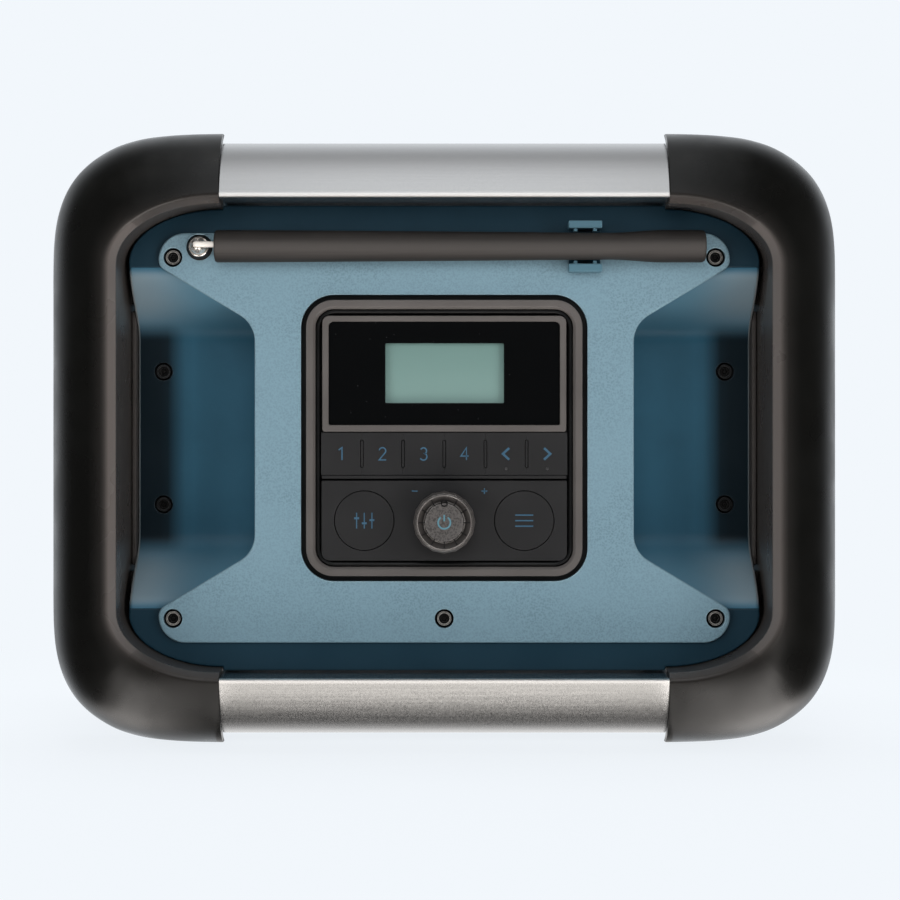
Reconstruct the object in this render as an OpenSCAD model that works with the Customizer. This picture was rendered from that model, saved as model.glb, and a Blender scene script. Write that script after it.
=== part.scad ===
// Jobsite radio: a blue housing carried between a front and a rear ring frame.
// X is width, Y is depth (front is -Y), Z is up. The origin is at the bottom centre.

/* [Overall] */
// Width over the bumpers
body_w = 300; // [296:1:304]
// Height over the bumpers
body_h = 233.6; // [232:0.2:238]
// Depth over both ring frames
body_d = 190; // [186:1:196]
// Wall thickness of the housing shells
wall_t = 2.5; // [2:0.1:3]

/* [Ring frames] */
// Depth of each ring frame
ring_d = 56; // [54:0.5:58]
// Width of the bumper from its outer side to its front crest
bumper_w = 24.5; // [23.5:0.1:25.5]
// Width of the chamfer inside the crest
chamfer_w = 3.6; // [3:0.1:4.2]
// Distance from the crest back to the widest line of the frame
crown_d = 36; // [34:0.5:38]
// Half of the gap between the two bumpers, where a rail is exposed
joint_x = 84; // [82:0.5:85]
// How far a rail lies inside the bumper's outer surface
rail_step = 3.7; // [3:0.1:4.5]
// Height of a rail's section
rail_h = 24.1; // [23:0.1:25]
// Depth of a rail's section
rail_d = 44; // [40:1:48]

/* [Housing] */
// Half width of the housing
house_x = 119.8; // [118.5:0.1:120]
// Half height of the housing
house_z = 86.4; // [85.5:0.1:86.8]
// Distance from the crest back to the housing's front face
house_front = 24; // [23:0.5:25]
// Distance from the crest back to the floor of a side recess
recess_floor = 51; // [49:0.5:52]
// Half height of a side recess at its mouth
recess_top = 64.6; // [63:0.2:65]
// Half height of a side recess at its floor
recess_bottom = 39.6; // [37:0.2:42]

/* [Face plate] */
// Half width of the face plate at its waist
waist_x = 71.9; // [70:0.1:73]
// Half height of the face plate
plate_z = 77.7; // [76.5:0.1:78.5]
// Thickness of the face plate
plate_t = 2; // [1.8:0.1:2.2]

/* [Control panel] */
// Half size of the square control panel
panel_half = 54.3; // [54:0.1:54.8]
// Width of one key
key_pitch = 15.6; // [15.4:0.05:15.7]
// Radius of a round button
round_r = 11.4; // [10.8:0.1:11.6]
// Radius of the volume knob
knob_r = 11.6; // [11:0.1:12.4]
// How far the keys and round buttons travel
key_travel = 0.8; // [0.5:0.1:0.9]

/* [Antenna] */
// Radius of the antenna whip at its base
whip_r = 6.1; // [5.6:0.1:6.3]
// Distance from the hinge to the tip of the whip
whip_len = 191; // [180:1:192]

/* [Rear] */
// Half width of the battery bay
bay_x = 62; // [58:1:64]
// Half height of the battery bay
bay_z = 42; // [40:1:43]
// Half height of a speaker grille
grille_z = 50; // [46:1:52]

/* [Hidden] */
$fn = 96;
eps = 0.01;

mid_z = body_h / 2;
crest_y = -body_d / 2;
ring_back_y = crest_y + ring_d;
front_y = crest_y + house_front;
floor_y = crest_y + recess_floor;
back_y = -front_y;
seal_t = 1.2;
split_y = ring_back_y;

// Ring frame
crest_x = body_w / 2 - bumper_w;
crest_z = body_h / 2 - bumper_w - 2.2;
wall_x = crest_x - chamfer_w;
wall_z = crest_z - chamfer_w + 0.7;
corner_a = 37.8;
corner_b = 22.6;
corner_r = 39.3;
chamfer_d = 2;
flange_d = 10;
flange_gap_z = 52;
crown_r = (bumper_w * bumper_w + crown_d * crown_d) / (2 * bumper_w);
edge_r = 4;
rail_top = body_h / 2 - rail_step;
rail_low = rail_top - rail_h;
rail_r = (rail_h * rail_h + crown_d * crown_d) / (2 * rail_h);
rail_t = 2.4;
tenon_len = 12;
tenon_gap = 0.5;
tenon_h = 12;
tenon_d = 18;
tenon_low = rail_low + 3;
tenon_front = 16;
lug_x = 133;
lug_z0 = 58;
lug_z1 = 74;
lug_t = 6;
lug_screw = [127.5, 66];
rail_screw_x = joint_x + 6;
rail_screw_z = tenon_low + tenon_h / 2;

// Face plate outline
ear_r = 10.1;
ear_toe_r = 4.5;
ear_x = 98.3;
ear_z = plate_z - ear_r;
plate_end_x = ear_x + ear_r;
toe_x = plate_end_x - ear_toe_r;
waist_r = 11.4;
diagonal_a = 59;
plate_front_y = front_y - plate_t;
face_screw_x = 102.9;
face_screw_z = 68.5;
recess_screw_x = 109.9;
recess_screw_z = 26;

// Screws
bore_r = 3.6;
head_r = 2.8;
head_h = 2;
shank_r = 1.4;
drive_r = 1.4;
face_sink = 1.2;
recess_sink = 2.3;

// Control panel
panel_r = 12.5;
tray_floor_y = front_y + 5;
tray_t = 2;
board_y = tray_floor_y + tray_t + 6;
board_t = 1.6;
tray_half = 49.8;
well_half = 48.9;
bezel_half = 52.3;
bezel_front_y = front_y - 3.8;
frame_half = 46.2;
frame_z0 = 2.4;
frame_z1 = 46.3;
frame_front_y = front_y - 3.2;
glass_half = 43.8;
glass_z0 = 4.9;
glass_z1 = 44.1;
lens_front_y = front_y - 2.4;
lens_t = 1.5;
key_front_y = front_y - 2.6;
key_z1 = 2.2;
key_z0 = -14.4;
key_gap = 0.35;
key_cap_t = 4.6;
stem = [6, 3];
pad_z1 = -16.3;
pad_z0 = -46.6;
pad_front_y = front_y - 2.4;
round_x = 30.3;
round_z = -31.3;
knob_z = -31.6;
knob_front_y = front_y - 15.5;
knob_back_y = front_y - 3.8;
cap_r = 7.3;
shaft_r = 3;
shaft_bore_r = 3.05;
switch_h = 2.6;
stem_end_y = board_y - switch_h - key_travel - 0.1;

// Antenna
hinge_x = -92.8;
hinge_z = 72.3;
hinge_y = plate_front_y - 7;
socket_r = 4.9;
knuckle_r = 3.8;
tongue_half = 1.15;
pin_r = 0.8;
whip_start = 6.5;
clip_x0 = 46.8;
clip_x1 = 59.4;

// Speakers
speaker_r = 39;
speaker_hole_r = 35;
grille_y = 37;
grille_t = 4.6;
basket_x = house_x - wall_t;
cone_back = 22;
magnet_r = 26;
magnet_t = 13;

// Battery bay, door and ports
bay_floor_y = 5.5;
door_t = 3;
door_x = 66;
door_z1 = 46;
door_z0 = -47.5;
door_gap = 0.4;
rebate_y = back_y - door_t;
door_axis = [back_y - 0.5, -51];
barrel_r = 2.6;
barrel_pin_r = 1.2;
barrel_x0 = 30;
barrel_x1 = 50;
latch_x = 12;
latch_z0 = 33;
port_x = 34;
port_z0 = 56;
port_z1 = 73;
port_floor_y = back_y - 9;
flap_t = 2.4;
flap_axis = [back_y + 0.2, port_z0 - 1.4];
rear_screw = [100, 71];
tower_r = 4.5;

blue = "#2a4755";
pale_blue = "#76929f";
rubber = "#232221";
metal = "#c1c1c1";
black = "#121314";
dark_grey = "#323233";

// ---- Outlines and helpers -------------------------------------------------------------

// Extrudes an outline drawn in X and Z, from depth y0 back to depth y1.
module slab(y0, y1) {
    translate([0, y1, mid_z]) rotate([90, 0, 0]) linear_extrude(y1 - y0) children();
}

// A round rod along Y at [x, z].
module rod_y(x, z, r, y0, y1, sides = 64) {
    translate([x, y0, mid_z + z]) rotate([-90, 0, 0]) cylinder(h = y1 - y0, r = r, $fn = sides);
}

// A round rod along X at [y, z].
module rod_x(y, z, r, x0, x1) {
    translate([x0, y, mid_z + z]) rotate([0, 90, 0]) cylinder(h = x1 - x0, r = r, $fn = 48);
}

// A block between two corners, with z counted from the middle height.
module block(low, high) {
    translate([low[0], low[1], mid_z + low[2]]) cube(high - low);
}

module both_sides() {
    children();
    mirror([1, 0, 0]) children();
}

module top_and_bottom() {
    children();
    translate([0, 0, body_h]) mirror([0, 0, 1]) children();
}

module four_corners() {
    both_sides() top_and_bottom() children();
}

module rounded_square(half, r) {
    union() {
        square([2 * half, 2 * (half - r)], center = true);
        square([2 * (half - r), 2 * half], center = true);
        for (x = [-1, 1], y = [-1, 1]) translate([x * (half - r), y * (half - r)]) circle(r);
    }
}

module rounded_rect(x0, z0, x1, z1, r) {
    union() {
        translate([x0 + r, z0]) square([x1 - x0 - 2 * r, z1 - z0]);
        translate([x0, z0 + r]) square([x1 - x0, z1 - z0 - 2 * r]);
        for (x = [x0 + r, x1 - r], z = [z0 + r, z1 - r]) translate([x, z]) circle(r, $fn = 48);
    }
}

// One quarter of an elliptical corner, counted anticlockwise from angle a0.
function quarter(cx, cz, a, b, a0) =
    [for (i = [0:10]) let (t = a0 + 9 * i) [cx + a * cos(t), cz + b * sin(t)]];

// A rectangle whose corners are quarters of an ellipse.
module oval_rect(half_x, half_z, a, b) {
    cx = half_x - a;
    cz = half_z - b;
    polygon(concat(quarter(cx, cz, a, b, 0), quarter(-cx, cz, a, b, 90),
                   quarter(-cx, -cz, a, b, 180), quarter(cx, -cz, a, b, 270)));
}

module housing_outline(inset = 0) {
    oval_rect(house_x - inset, house_z - inset, corner_a - 2 - inset, corner_b - 1.3 - inset);
}

function arc(cx, cz, r, a0, a1, steps) =
    [for (i = [0:steps]) let (t = a0 + (a1 - a0) * i / steps) [cx + r * cos(t), cz + r * sin(t)]];

// The diagonal leaves the ear's toe and meets the arc at the waist, tangent to both.
diagonal_x0 = toe_x + ear_toe_r * cos(diagonal_a);
diagonal_z0 = ear_z - ear_toe_r * sin(diagonal_a);
waist_arc_x = waist_x + waist_r;
diagonal_x1 = waist_arc_x - waist_r * cos(diagonal_a);
diagonal_z1 = diagonal_z0 - (diagonal_x0 - diagonal_x1) / tan(diagonal_a);
waist_arc_z = diagonal_z1 - waist_r * sin(diagonal_a);

// One quarter of the face plate's edge, from its top to its waist, at the +X side.
plate_quarter = concat(arc(ear_x, ear_z, ear_r, 90, 0, 8),
                       arc(toe_x, ear_z, ear_toe_r, 0, -diagonal_a, 5),
                       arc(waist_arc_x, waist_arc_z, waist_r, 180 - diagonal_a, 180, 6));

function reversed(points) = [for (i = [len(points) - 1:-1:0]) points[i]];
function flipped(points, sx, sz) = [for (p = points) [sx * p[0], sz * p[1]]];

module plate_outline() {
    polygon(concat(plate_quarter, flipped(reversed(plate_quarter), 1, -1),
                   flipped(plate_quarter, -1, -1), flipped(reversed(plate_quarter), -1, 1)));
}

// ---- Ring frames ----------------------------------------------------------------------

// Solid section of the frame: x is the distance out from the corner's centre, y is depth.
module crown_section(reach, crown) {
    difference() {
        square([reach, ring_d]);
        difference() {
            translate([reach - bumper_w, -eps]) square([bumper_w + eps, crown_d + eps]);
            translate([reach - crown, crown_d]) circle(crown, $fn = 160);
        }
        difference() {
            translate([reach - edge_r, ring_d - edge_r]) square(edge_r + eps);
            translate([reach - edge_r, ring_d - edge_r]) circle(edge_r, $fn = 48);
        }
    }
}

// Upper quarter of a bumper, before the opening is cut.
module bumper_quarter() {
    centre_x = body_w / 2 - corner_r;
    centre_z = body_h / 2 - corner_r;
    translate([centre_x, crest_y, mid_z + centre_z]) rotate([-90, 0, 0]) mirror([0, 1, 0])
        rotate_extrude(angle = 90, $fn = 128) crown_section(corner_r, crown_r);
    translate([centre_x, crest_y, mid_z]) linear_extrude(centre_z)
        crown_section(corner_r, crown_r);
    translate([joint_x, crest_y, mid_z + centre_z]) rotate([90, 0, 90])
        linear_extrude(centre_x - joint_x) mirror([1, -1, 0]) crown_section(corner_r, crown_r);
}

module bumper() {
    difference() {
        union() {
            bumper_quarter();
            translate([0, 0, body_h]) mirror([0, 0, 1]) bumper_quarter();
        }
        slab(crest_y - 1, crest_y + chamfer_d)
            oval_rect(crest_x, crest_z, corner_a + chamfer_w, corner_b + chamfer_w);
        slab(crest_y, ring_back_y - flange_d) oval_rect(wall_x, wall_z, corner_a, corner_b);
        slab(crest_y, ring_back_y + 1) housing_outline();
        block([0, crest_y, -flange_gap_z], [wall_x, ring_back_y + 1, flange_gap_z]);
        top_and_bottom() {
            block([joint_x - 1, crest_y + tenon_front, tenon_low],
                  [joint_x + tenon_len, crest_y + tenon_front + tenon_d, tenon_low + tenon_h]);
            rod_y(lug_screw[0], lug_screw[1], shank_r, ring_back_y - 14, ring_back_y + 1);
            rod_y(rail_screw_x, rail_screw_z, shank_r, crest_y + 30, ring_back_y - 12);
            rod_y(rail_screw_x, rail_screw_z, head_r, ring_back_y - 14, ring_back_y + 1);
        }
    }
}

module rail_section(h, crown, inset) {
    difference() {
        translate([inset, inset]) square([h - 2 * inset, rail_d - 2 * inset]);
        difference() {
            translate([-1, -1]) square([h + 2, crown_d + 1]);
            translate([h - crown, crown_d]) circle(crown - inset, $fn = 160);
        }
        difference() {
            translate([h - 8, rail_d - 8]) square(9);
            translate([h - 8, rail_d - 8]) circle(8 - inset, $fn = 64);
        }
    }
}

// Extruded hollow rail with a tenon at each end that sits in the bumpers.
module rail() {
    half = joint_x - tenon_gap;
    difference() {
        union() {
            translate([-half, crest_y, mid_z + rail_low]) rotate([90, 0, 90])
                linear_extrude(2 * half) mirror([1, -1, 0]) rail_section(rail_h, rail_r, 0);
            block([-joint_x - tenon_len, crest_y + tenon_front, tenon_low],
                  [joint_x + tenon_len, crest_y + tenon_front + tenon_d, tenon_low + tenon_h]);
        }
        difference() {
            translate([-half + 3, crest_y, mid_z + rail_low]) rotate([90, 0, 90])
                linear_extrude(2 * half - 6) mirror([1, -1, 0])
                rail_section(rail_h, rail_r, rail_t);
        }
        both_sides() rod_y(rail_screw_x, rail_screw_z, shank_r, crest_y + 30, ring_back_y);
    }
}

module bumper_front_left() { color(rubber) mirror([1, 0, 0]) bumper(); }
module bumper_front_right() { color(rubber) bumper(); }
module bumper_rear_left() { color(rubber) mirror([0, 1, 0]) mirror([1, 0, 0]) bumper(); }
module bumper_rear_right() { color(rubber) mirror([0, 1, 0]) bumper(); }
module rail_front_top() { color(metal) rail(); }
module rail_front_bottom() { color(metal) translate([0, 0, body_h]) mirror([0, 0, 1]) rail(); }
module rail_rear_top() { color(metal) mirror([0, 1, 0]) rail(); }
module rail_rear_bottom() {
    color(metal) mirror([0, 1, 0]) translate([0, 0, body_h]) mirror([0, 0, 1]) rail();
}

// ---- Housing --------------------------------------------------------------------------

// The part of the front that a side panel fills: beside the face plate, between its ears.
module side_area() {
    difference() {
        translate([waist_x - 1, -recess_top]) square([house_x - waist_x + 1, 2 * recess_top]);
        plate_outline();
    }
}

// Half of the side panel's section, as [depth from the crest, height].
recess_half = [[house_front, recess_top], [house_front + 2.5, recess_top - 6],
               [recess_floor - 3.5, recess_bottom + 4.5], [recess_floor, recess_bottom - 1]];
panel_back = ring_d - seal_t;
panel_back_half = [[panel_back, recess_bottom - 4], [panel_back, recess_bottom + 5],
                   [house_front + 8, recess_top - 4.5], [house_front + 4, recess_top]];

module side_panel() {
    section = concat(recess_half, flipped(reversed(recess_half), 1, -1),
                     flipped(reversed(panel_back_half), 1, -1), panel_back_half);
    difference() {
        intersection() {
            translate([0, crest_y, mid_z]) rotate([90, 0, 90]) linear_extrude(house_x)
                polygon(section);
            slab(front_y - 1, split_y) side_area();
            slab(front_y - 1, split_y) housing_outline();
        }
        top_and_bottom() {
            rod_y(recess_screw_x, recess_screw_z, bore_r, floor_y - 1, floor_y + recess_sink);
            rod_y(recess_screw_x, recess_screw_z, shank_r, floor_y, split_y + 1);
        }
    }
}

module side_panel_left() { color(blue) mirror([1, 0, 0]) side_panel(); }
module side_panel_right() { color(blue) side_panel(); }

module front_housing() {
    color(blue) difference() {
        union() {
            difference() {
                slab(front_y, split_y - seal_t) housing_outline();
                both_sides() slab(front_y - 1, split_y) side_area();
                slab(front_y + wall_t, split_y)
                    square([2 * (waist_x - 4), 2 * (house_z - wall_t)], center = true);
                four_corners() block([waist_x, front_y + 4, ear_z + 1], [95, split_y, ear_z + 12]);
            }
            rod_y(0, -face_screw_z, tower_r, front_y, floor_y);
        }
        slab(front_y - 1, front_y + wall_t + 1)
            square([2 * tray_half, 2 * tray_half], center = true);
        four_corners() screw_bore(face_screw_x, face_screw_z);
        screw_bore(0, -face_screw_z);
        rod_y(hinge_x, hinge_z, socket_r, front_y - 1, front_y + 12);
        block([clip_x0 + 2, front_y - 1, hinge_z - 4], [clip_x1 - 2, front_y + 1.5, hinge_z + 4]);
    }
}

// Stepped bore in the front face for one of the face plate's screws.
module screw_bore(x, z) {
    rod_y(x, z, bore_r, front_y - 1, front_y + face_sink);
    rod_y(x, z, shank_r, front_y, front_y + 14);
}

module housing_gasket() {
    color(black) slab(split_y - seal_t, split_y) difference() {
        housing_outline(0.6);
        housing_outline(wall_t);
    }
}

// Bay walls that close off the battery from the inside of the housing.
module bay_tub() {
    difference() {
        block([-bay_x - wall_t, bay_floor_y - wall_t, -bay_z - wall_t],
              [bay_x + wall_t, back_y - 1, bay_z + wall_t]);
        block([-bay_x, bay_floor_y, -bay_z], [bay_x, back_y + 1, bay_z]);
    }
}

module port_tub() {
    block([-port_x - 2, port_floor_y - 2, port_z0 - 2], [port_x + 2, back_y - 1, port_z1 + 2]);
}

module rear_housing() {
    color(blue) union() {
        hinge_ears();
        rear_shell();
    }
}

module rear_shell() {
    difference() {
        union() {
            difference() {
                slab(split_y, back_y) housing_outline();
                slab(split_y - 1, back_y - wall_t) housing_outline(wall_t);
            }
            bay_tub();
            port_tub();
            block([-door_x - 3, rebate_y - wall_t, door_z0 - 8],
                  [door_x + 3, back_y, -bay_z]);
            difference() {
                block([-door_x - 3, rebate_y - wall_t, -bay_z - eps], [door_x + 3, back_y, 52]);
                block([-bay_x, 0, -bay_z - 1], [bay_x, back_y + 1, bay_z]);
            }
            four_corners() {
                rod_y(rear_screw[0], rear_screw[1], tower_r, split_y, back_y);
                rod_y(recess_screw_x, recess_screw_z, 4, split_y, split_y + 5.4);
                block([recess_screw_x, split_y, recess_screw_z - 2],
                      [house_x - 1, split_y + 5.4, recess_screw_z + 2]);
            }
            for (x = [-50, 50], z = [-32, 32]) rod_y(x, z, 4, -7.4, bay_floor_y);
        }
        // Door rebate and bay mouth
        block([-door_x - door_gap, rebate_y, door_z0 - 0.9],
              [door_x + door_gap, back_y + 1, door_z1 + door_gap]);
        block([-bay_x, bay_floor_y, -bay_z], [bay_x, back_y + 1, bay_z]);
        both_sides() block([barrel_x0 - 6, rebate_y - 0.5, -55.5],
                           [barrel_x1 + 6, back_y + 1, door_z0]);
        block([-latch_x - 1, rebate_y + 1, door_z1], [latch_x + 1, back_y + 1, door_z1 + 4]);
        // Port pocket
        block([-port_x, port_floor_y, port_z0], [port_x, back_y + 1, port_z1]);
        block([-port_x, back_y - 2.4, port_z0 - 3.2], [port_x, back_y + 1, port_z0 + 1]);
        rod_y(-20, 64.5, 4, port_floor_y - 4, back_y);
        block([4, port_floor_y - 4, 61], [20, port_floor_y + 1, 68.5]);
        // Speakers, grilles and screws
        both_sides() rod_x(0, 0, speaker_hole_r, house_x - 5, house_x + 1);
        four_corners() {
            rod_y(rear_screw[0], rear_screw[1], bore_r, back_y - 3.5, back_y + 1);
            rod_y(rear_screw[0], rear_screw[1], shank_r, back_y - 24, back_y);
            rod_y(recess_screw_x, recess_screw_z, shank_r, split_y - 1, split_y + 5.4 + 1);
        }
        for (x = [-50, 50], z = [-32, 32]) rod_y(x, z, shank_r, -8, 1);
    }
}

// Eight lugs on the housing's sides, which the bumpers are screwed to.
module frame_lugs() {
    color(blue) for (y = [0, 1]) mirror([0, y, 0]) four_corners() difference() {
        block([100, split_y, lug_z0], [lug_x, split_y + lug_t, lug_z1]);
        slab(split_y - 1, split_y + lug_t + 1) housing_outline();
        rod_y(lug_screw[0], lug_screw[1], shank_r, split_y - 1, split_y + lug_t + 1);
    }
}

// Ears that hold the pins of the battery door.
module hinge_ears() {
    gap = 0.4;
    both_sides() for (x = [barrel_x0 - 6, barrel_x1 + gap]) difference() {
        union() {
            rod_x(door_axis[0], door_axis[1], barrel_r, x, x + 6 - gap);
            block([x, rebate_y - 1.5, -56.5], [x + 6 - gap, door_axis[0], -51]);
        }
        rod_x(door_axis[0], door_axis[1], barrel_pin_r, x - 1, x + 7);
    }
}

// ---- Face plate and its screws --------------------------------------------------------

module face_plate() {
    color(pale_blue) slab(plate_front_y, front_y) difference() {
        plate_outline();
        rounded_square(panel_half, panel_r);
        for (x = [-1, 1], z = [-1, 1]) translate([x * face_screw_x, z * face_screw_z]) circle(bore_r);
        translate([0, -face_screw_z]) circle(bore_r);
        translate([hinge_x, hinge_z]) circle(socket_r);
        translate([clip_x0 + 2, hinge_z - 4]) square([clip_x1 - clip_x0 - 4, 8]);
    }
}

// A pan-head screw driven along +Y, its head's seat at depth y, with a star recess and pin.
module screw(x, z, y, length) {
    difference() {
        union() {
            rod_y(x, z, head_r, y - head_h, y);
            rod_y(x, z, shank_r, y - eps, y + length);
        }
        difference() {
            rod_y(x, z, drive_r, y - head_h - 1, y - head_h + 1.2);
            rod_y(x, z, 0.45, y - head_h - 1, y - head_h + 1.3, 24);
        }
    }
}

module face_screws() {
    seat = front_y + face_sink;
    color(dark_grey) {
        for (x = [-1, 1], z = [-1, 1]) screw(x * face_screw_x, z * face_screw_z, seat, 12);
        screw(0, -face_screw_z, seat, 12);
    }
}

module recess_screws() {
    color(dark_grey) for (x = [-1, 1], z = [-1, 1])
        screw(x * recess_screw_x, z * recess_screw_z, floor_y + recess_sink, 6);
}

module rear_screws() {
    color(dark_grey) for (x = [-1, 1], z = [-1, 1])
        mirror([0, 1, 0]) screw(x * rear_screw[0], z * rear_screw[1], -back_y + 3.5, 20);
}

// Screws that hold the bumpers on the housing's lugs and the rails in the bumpers.
module frame_screws() {
    color(dark_grey) for (y = [0, 1], x = [-1, 1], z = [-1, 1]) mirror([0, y, 0]) {
        mirror([0, 1, 0])
            screw(x * lug_screw[0], z * lug_screw[1], -split_y - lug_t, 18);
        mirror([0, 1, 0])
            screw(x * rail_screw_x, z * rail_screw_z, -ring_back_y + 14, 12);
    }
}

module board_screws() {
    color(dark_grey) {
        for (x = [-1, 1], z = [-1, 1])
            mirror([0, 1, 0]) screw(x * 43, z * 43, -board_y - board_t, 5);
        for (x = [-50, 50], z = [-32, 32]) screw(x, z, -9, 7);
    }
}

// ---- Control panel --------------------------------------------------------------------

module panel_tray() {
    color(black) difference() {
        union() {
            slab(plate_front_y + 0.5, front_y) rounded_square(panel_half - 0.1, panel_r - 0.1);
            slab(front_y, tray_floor_y + tray_t)
                square([2 * tray_half - 0.4, 2 * tray_half - 0.4], center = true);
            for (x = [-43, 43], z = [-43, 43]) rod_y(x, z, 3, tray_floor_y + tray_t, board_y);
        }
        slab(plate_front_y - 1, tray_floor_y)
            square([2 * (tray_half - 2.8), 2 * (tray_half - 2.8)], center = true);
        block([-27, tray_floor_y - 1, 10], [27, tray_floor_y + 3, 39]);
        for (i = [0:5]) stem_hole(key_x(i), (key_z0 + key_z1) / 2);
        for (x = [-round_x, round_x]) stem_hole(x, round_z);
        rod_y(0, knob_z, 4, tray_floor_y - 1, tray_floor_y + 3);
        for (x = [-43, 43], z = [-43, 43]) rod_y(x, z, shank_r, tray_floor_y + 1, board_y + 1);
    }
}

module stem_hole(x, z) {
    block([x - stem[0] / 2 - 0.3, tray_floor_y - 1, z - stem[1] / 2 - 0.3],
          [x + stem[0] / 2 + 0.3, tray_floor_y + 3, z + stem[1] / 2 + 0.3]);
}

module panel_bezel() {
    color("#676362") slab(bezel_front_y, plate_front_y + 0.5) difference() {
        rounded_square(bezel_half, panel_r - 2.1);
        rounded_square(well_half, panel_r - 5.5);
    }
}

module display_frame() {
    color(black) slab(frame_front_y, tray_floor_y) difference() {
        rounded_rect(-frame_half, frame_z0, frame_half, frame_z1, 1.2);
        translate([-glass_half, glass_z0]) square([2 * glass_half, glass_z1 - glass_z0]);
    }
}

module display_lens() {
    color([0.05, 0.05, 0.06, 0.9]) slab(lens_front_y, lens_front_y + lens_t)
        translate([-glass_half, glass_z0]) square([2 * glass_half, glass_z1 - glass_z0]);
}

module lcd_module() {
    color("#7a9b92") slab(lens_front_y + lens_t, tray_floor_y + tray_t)
        translate([-26, 11.5]) square([52, 26.5]);
}

function key_x(i) = (i - 2.5) * key_pitch;

module key(i) {
    z = (key_z0 + key_z1) / 2;
    half_w = (key_pitch - key_gap) / 2;
    color(dark_grey) {
        block([key_x(i) - half_w, key_front_y, key_z0],
              [key_x(i) + half_w, key_front_y + key_cap_t, key_z1]);
        block([key_x(i) - stem[0] / 2, key_front_y + key_cap_t - eps, z - stem[1] / 2],
              [key_x(i) + stem[0] / 2, stem_end_y, z + stem[1] / 2]);
    }
}

module key_1() { key(0); }
module key_2() { key(1); }
module key_3() { key(2); }
module key_4() { key(3); }
module key_5() { key(4); }
module key_6() { key(5); }

module round_button(x) {
    color(dark_grey) {
        rod_y(x, round_z, round_r, key_front_y, key_front_y + key_cap_t);
        block([x - stem[0] / 2, key_front_y + key_cap_t - eps, round_z - stem[1] / 2],
              [x + stem[0] / 2, stem_end_y, round_z + stem[1] / 2]);
    }
}

module tone_button() { round_button(-round_x); }
module menu_button() { round_button(round_x); }

module control_pad() {
    color(dark_grey) slab(pad_front_y, tray_floor_y) difference() {
        rounded_rect(-tray_half + 3.2, pad_z0, tray_half - 3.2, pad_z1, 2);
        for (x = [-round_x, round_x]) translate([x, round_z]) circle(round_r + 0.3);
        translate([0, knob_z]) circle(shaft_r + 1);
    }
}

module volume_knob() {
    color(dark_grey) difference() {
        union() {
            rod_y(0, knob_z, knob_r, knob_front_y + 3, knob_back_y, 128);
            rod_y(0, knob_z, knob_r - 1.6, knob_front_y, knob_front_y + 3 + eps, 128);
        }
        rod_y(0, knob_z, cap_r, knob_front_y - 1, knob_front_y + 1.2);
        rod_y(0, knob_z, shaft_r, knob_front_y + 3, knob_back_y + 1);
        for (a = [0:15:345])
            rod_y(knob_r * cos(a), knob_z + knob_r * sin(a), 0.7, knob_front_y + 3.5,
                  knob_back_y - 1.5, 16);
    }
}

module knob_cap() {
    color("#5c5b59") rod_y(0, knob_z, cap_r, knob_front_y, knob_front_y + 1.2);
}

module encoder_shaft() {
    color(metal) rod_y(0, knob_z, shaft_r, knob_front_y + 3, board_y - 3.4);
}

module encoder_plunger() {
    color(black) rod_y(0, knob_z, shaft_r, board_y - 3.4, board_y - 1.4);
}

module encoder_body() {
    color("#4a4d50") difference() {
        block([-7, tray_floor_y + tray_t, knob_z - 7], [7, board_y, knob_z + 7]);
        rod_y(0, knob_z, shaft_bore_r, tray_floor_y, board_y - 0.4);
    }
}

// Switch on the board that a key's stem presses.
module tact_switch(x, z) {
    block([x - 3, board_y - switch_h, z - 3], [x + 3, board_y + eps, z + 3]);
}

module main_board() {
    color("#1d5a3a") difference() {
        union() {
            block([-47, board_y, -47], [47, board_y + board_t, 47]);
            for (i = [0:5]) tact_switch(key_x(i), (key_z0 + key_z1) / 2);
            for (x = [-round_x, round_x]) tact_switch(x, round_z);
            block([-12, board_y + board_t - eps, -8], [12, board_y + board_t + 2, 14]);
            block([20, board_y + board_t - eps, 10], [34, board_y + board_t + 1.4, 24]);
        }
        for (x = [-43, 43], z = [-43, 43]) rod_y(x, z, shank_r, board_y - 1, board_y + 3);
    }
}

module amplifier_board() {
    color("#1d5a3a") difference() {
        union() {
            block([-56, -9, -38], [56, -7.4, 38]);
            block([-30, -21, -30], [30, -9 + eps, -8]);
            for (x = [-20, 0, 20]) rod_y(x, 14, 8, -25, -9 + eps);
        }
        for (x = [-50, 50], z = [-32, 32]) rod_y(x, z, shank_r, -10, -7);
    }
}

// ---- Antenna --------------------------------------------------------------------------

module antenna_socket() {
    color(black) difference() {
        rod_y(hinge_x, hinge_z, socket_r, plate_front_y + 0.3, front_y + 12);
        rod_y(hinge_x, hinge_z, knuckle_r + 0.05, plate_front_y - 1, front_y + 8);
    }
}

module antenna_knuckle() {
    color(metal) difference() {
        union() {
            rod_y(hinge_x, hinge_z, knuckle_r, hinge_y + 3.2, front_y + 8);
            intersection() {
                rod_y(hinge_x, hinge_z, knuckle_r, hinge_y - 3, hinge_y + 4);
                for (z = [hinge_z + 1.3, hinge_z - 2.9])
                    translate([hinge_x, hinge_y, mid_z + z]) cylinder(h = 1.6, r = 2.6, $fn = 48);
            }
            for (z = [hinge_z + 1.3, hinge_z - 2.9])
                block([hinge_x - 2.2, hinge_y, z], [hinge_x + 2.2, hinge_y + 3.2 + eps, z + 1.6]);
        }
        translate([hinge_x, hinge_y, mid_z + hinge_z - 5]) cylinder(h = 10, r = pin_r, $fn = 48);
    }
}

module antenna_pin() {
    color(metal) translate([hinge_x, hinge_y, mid_z + hinge_z - 2.9])
        cylinder(h = 5.8, r = pin_r, $fn = 48);
}

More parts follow.
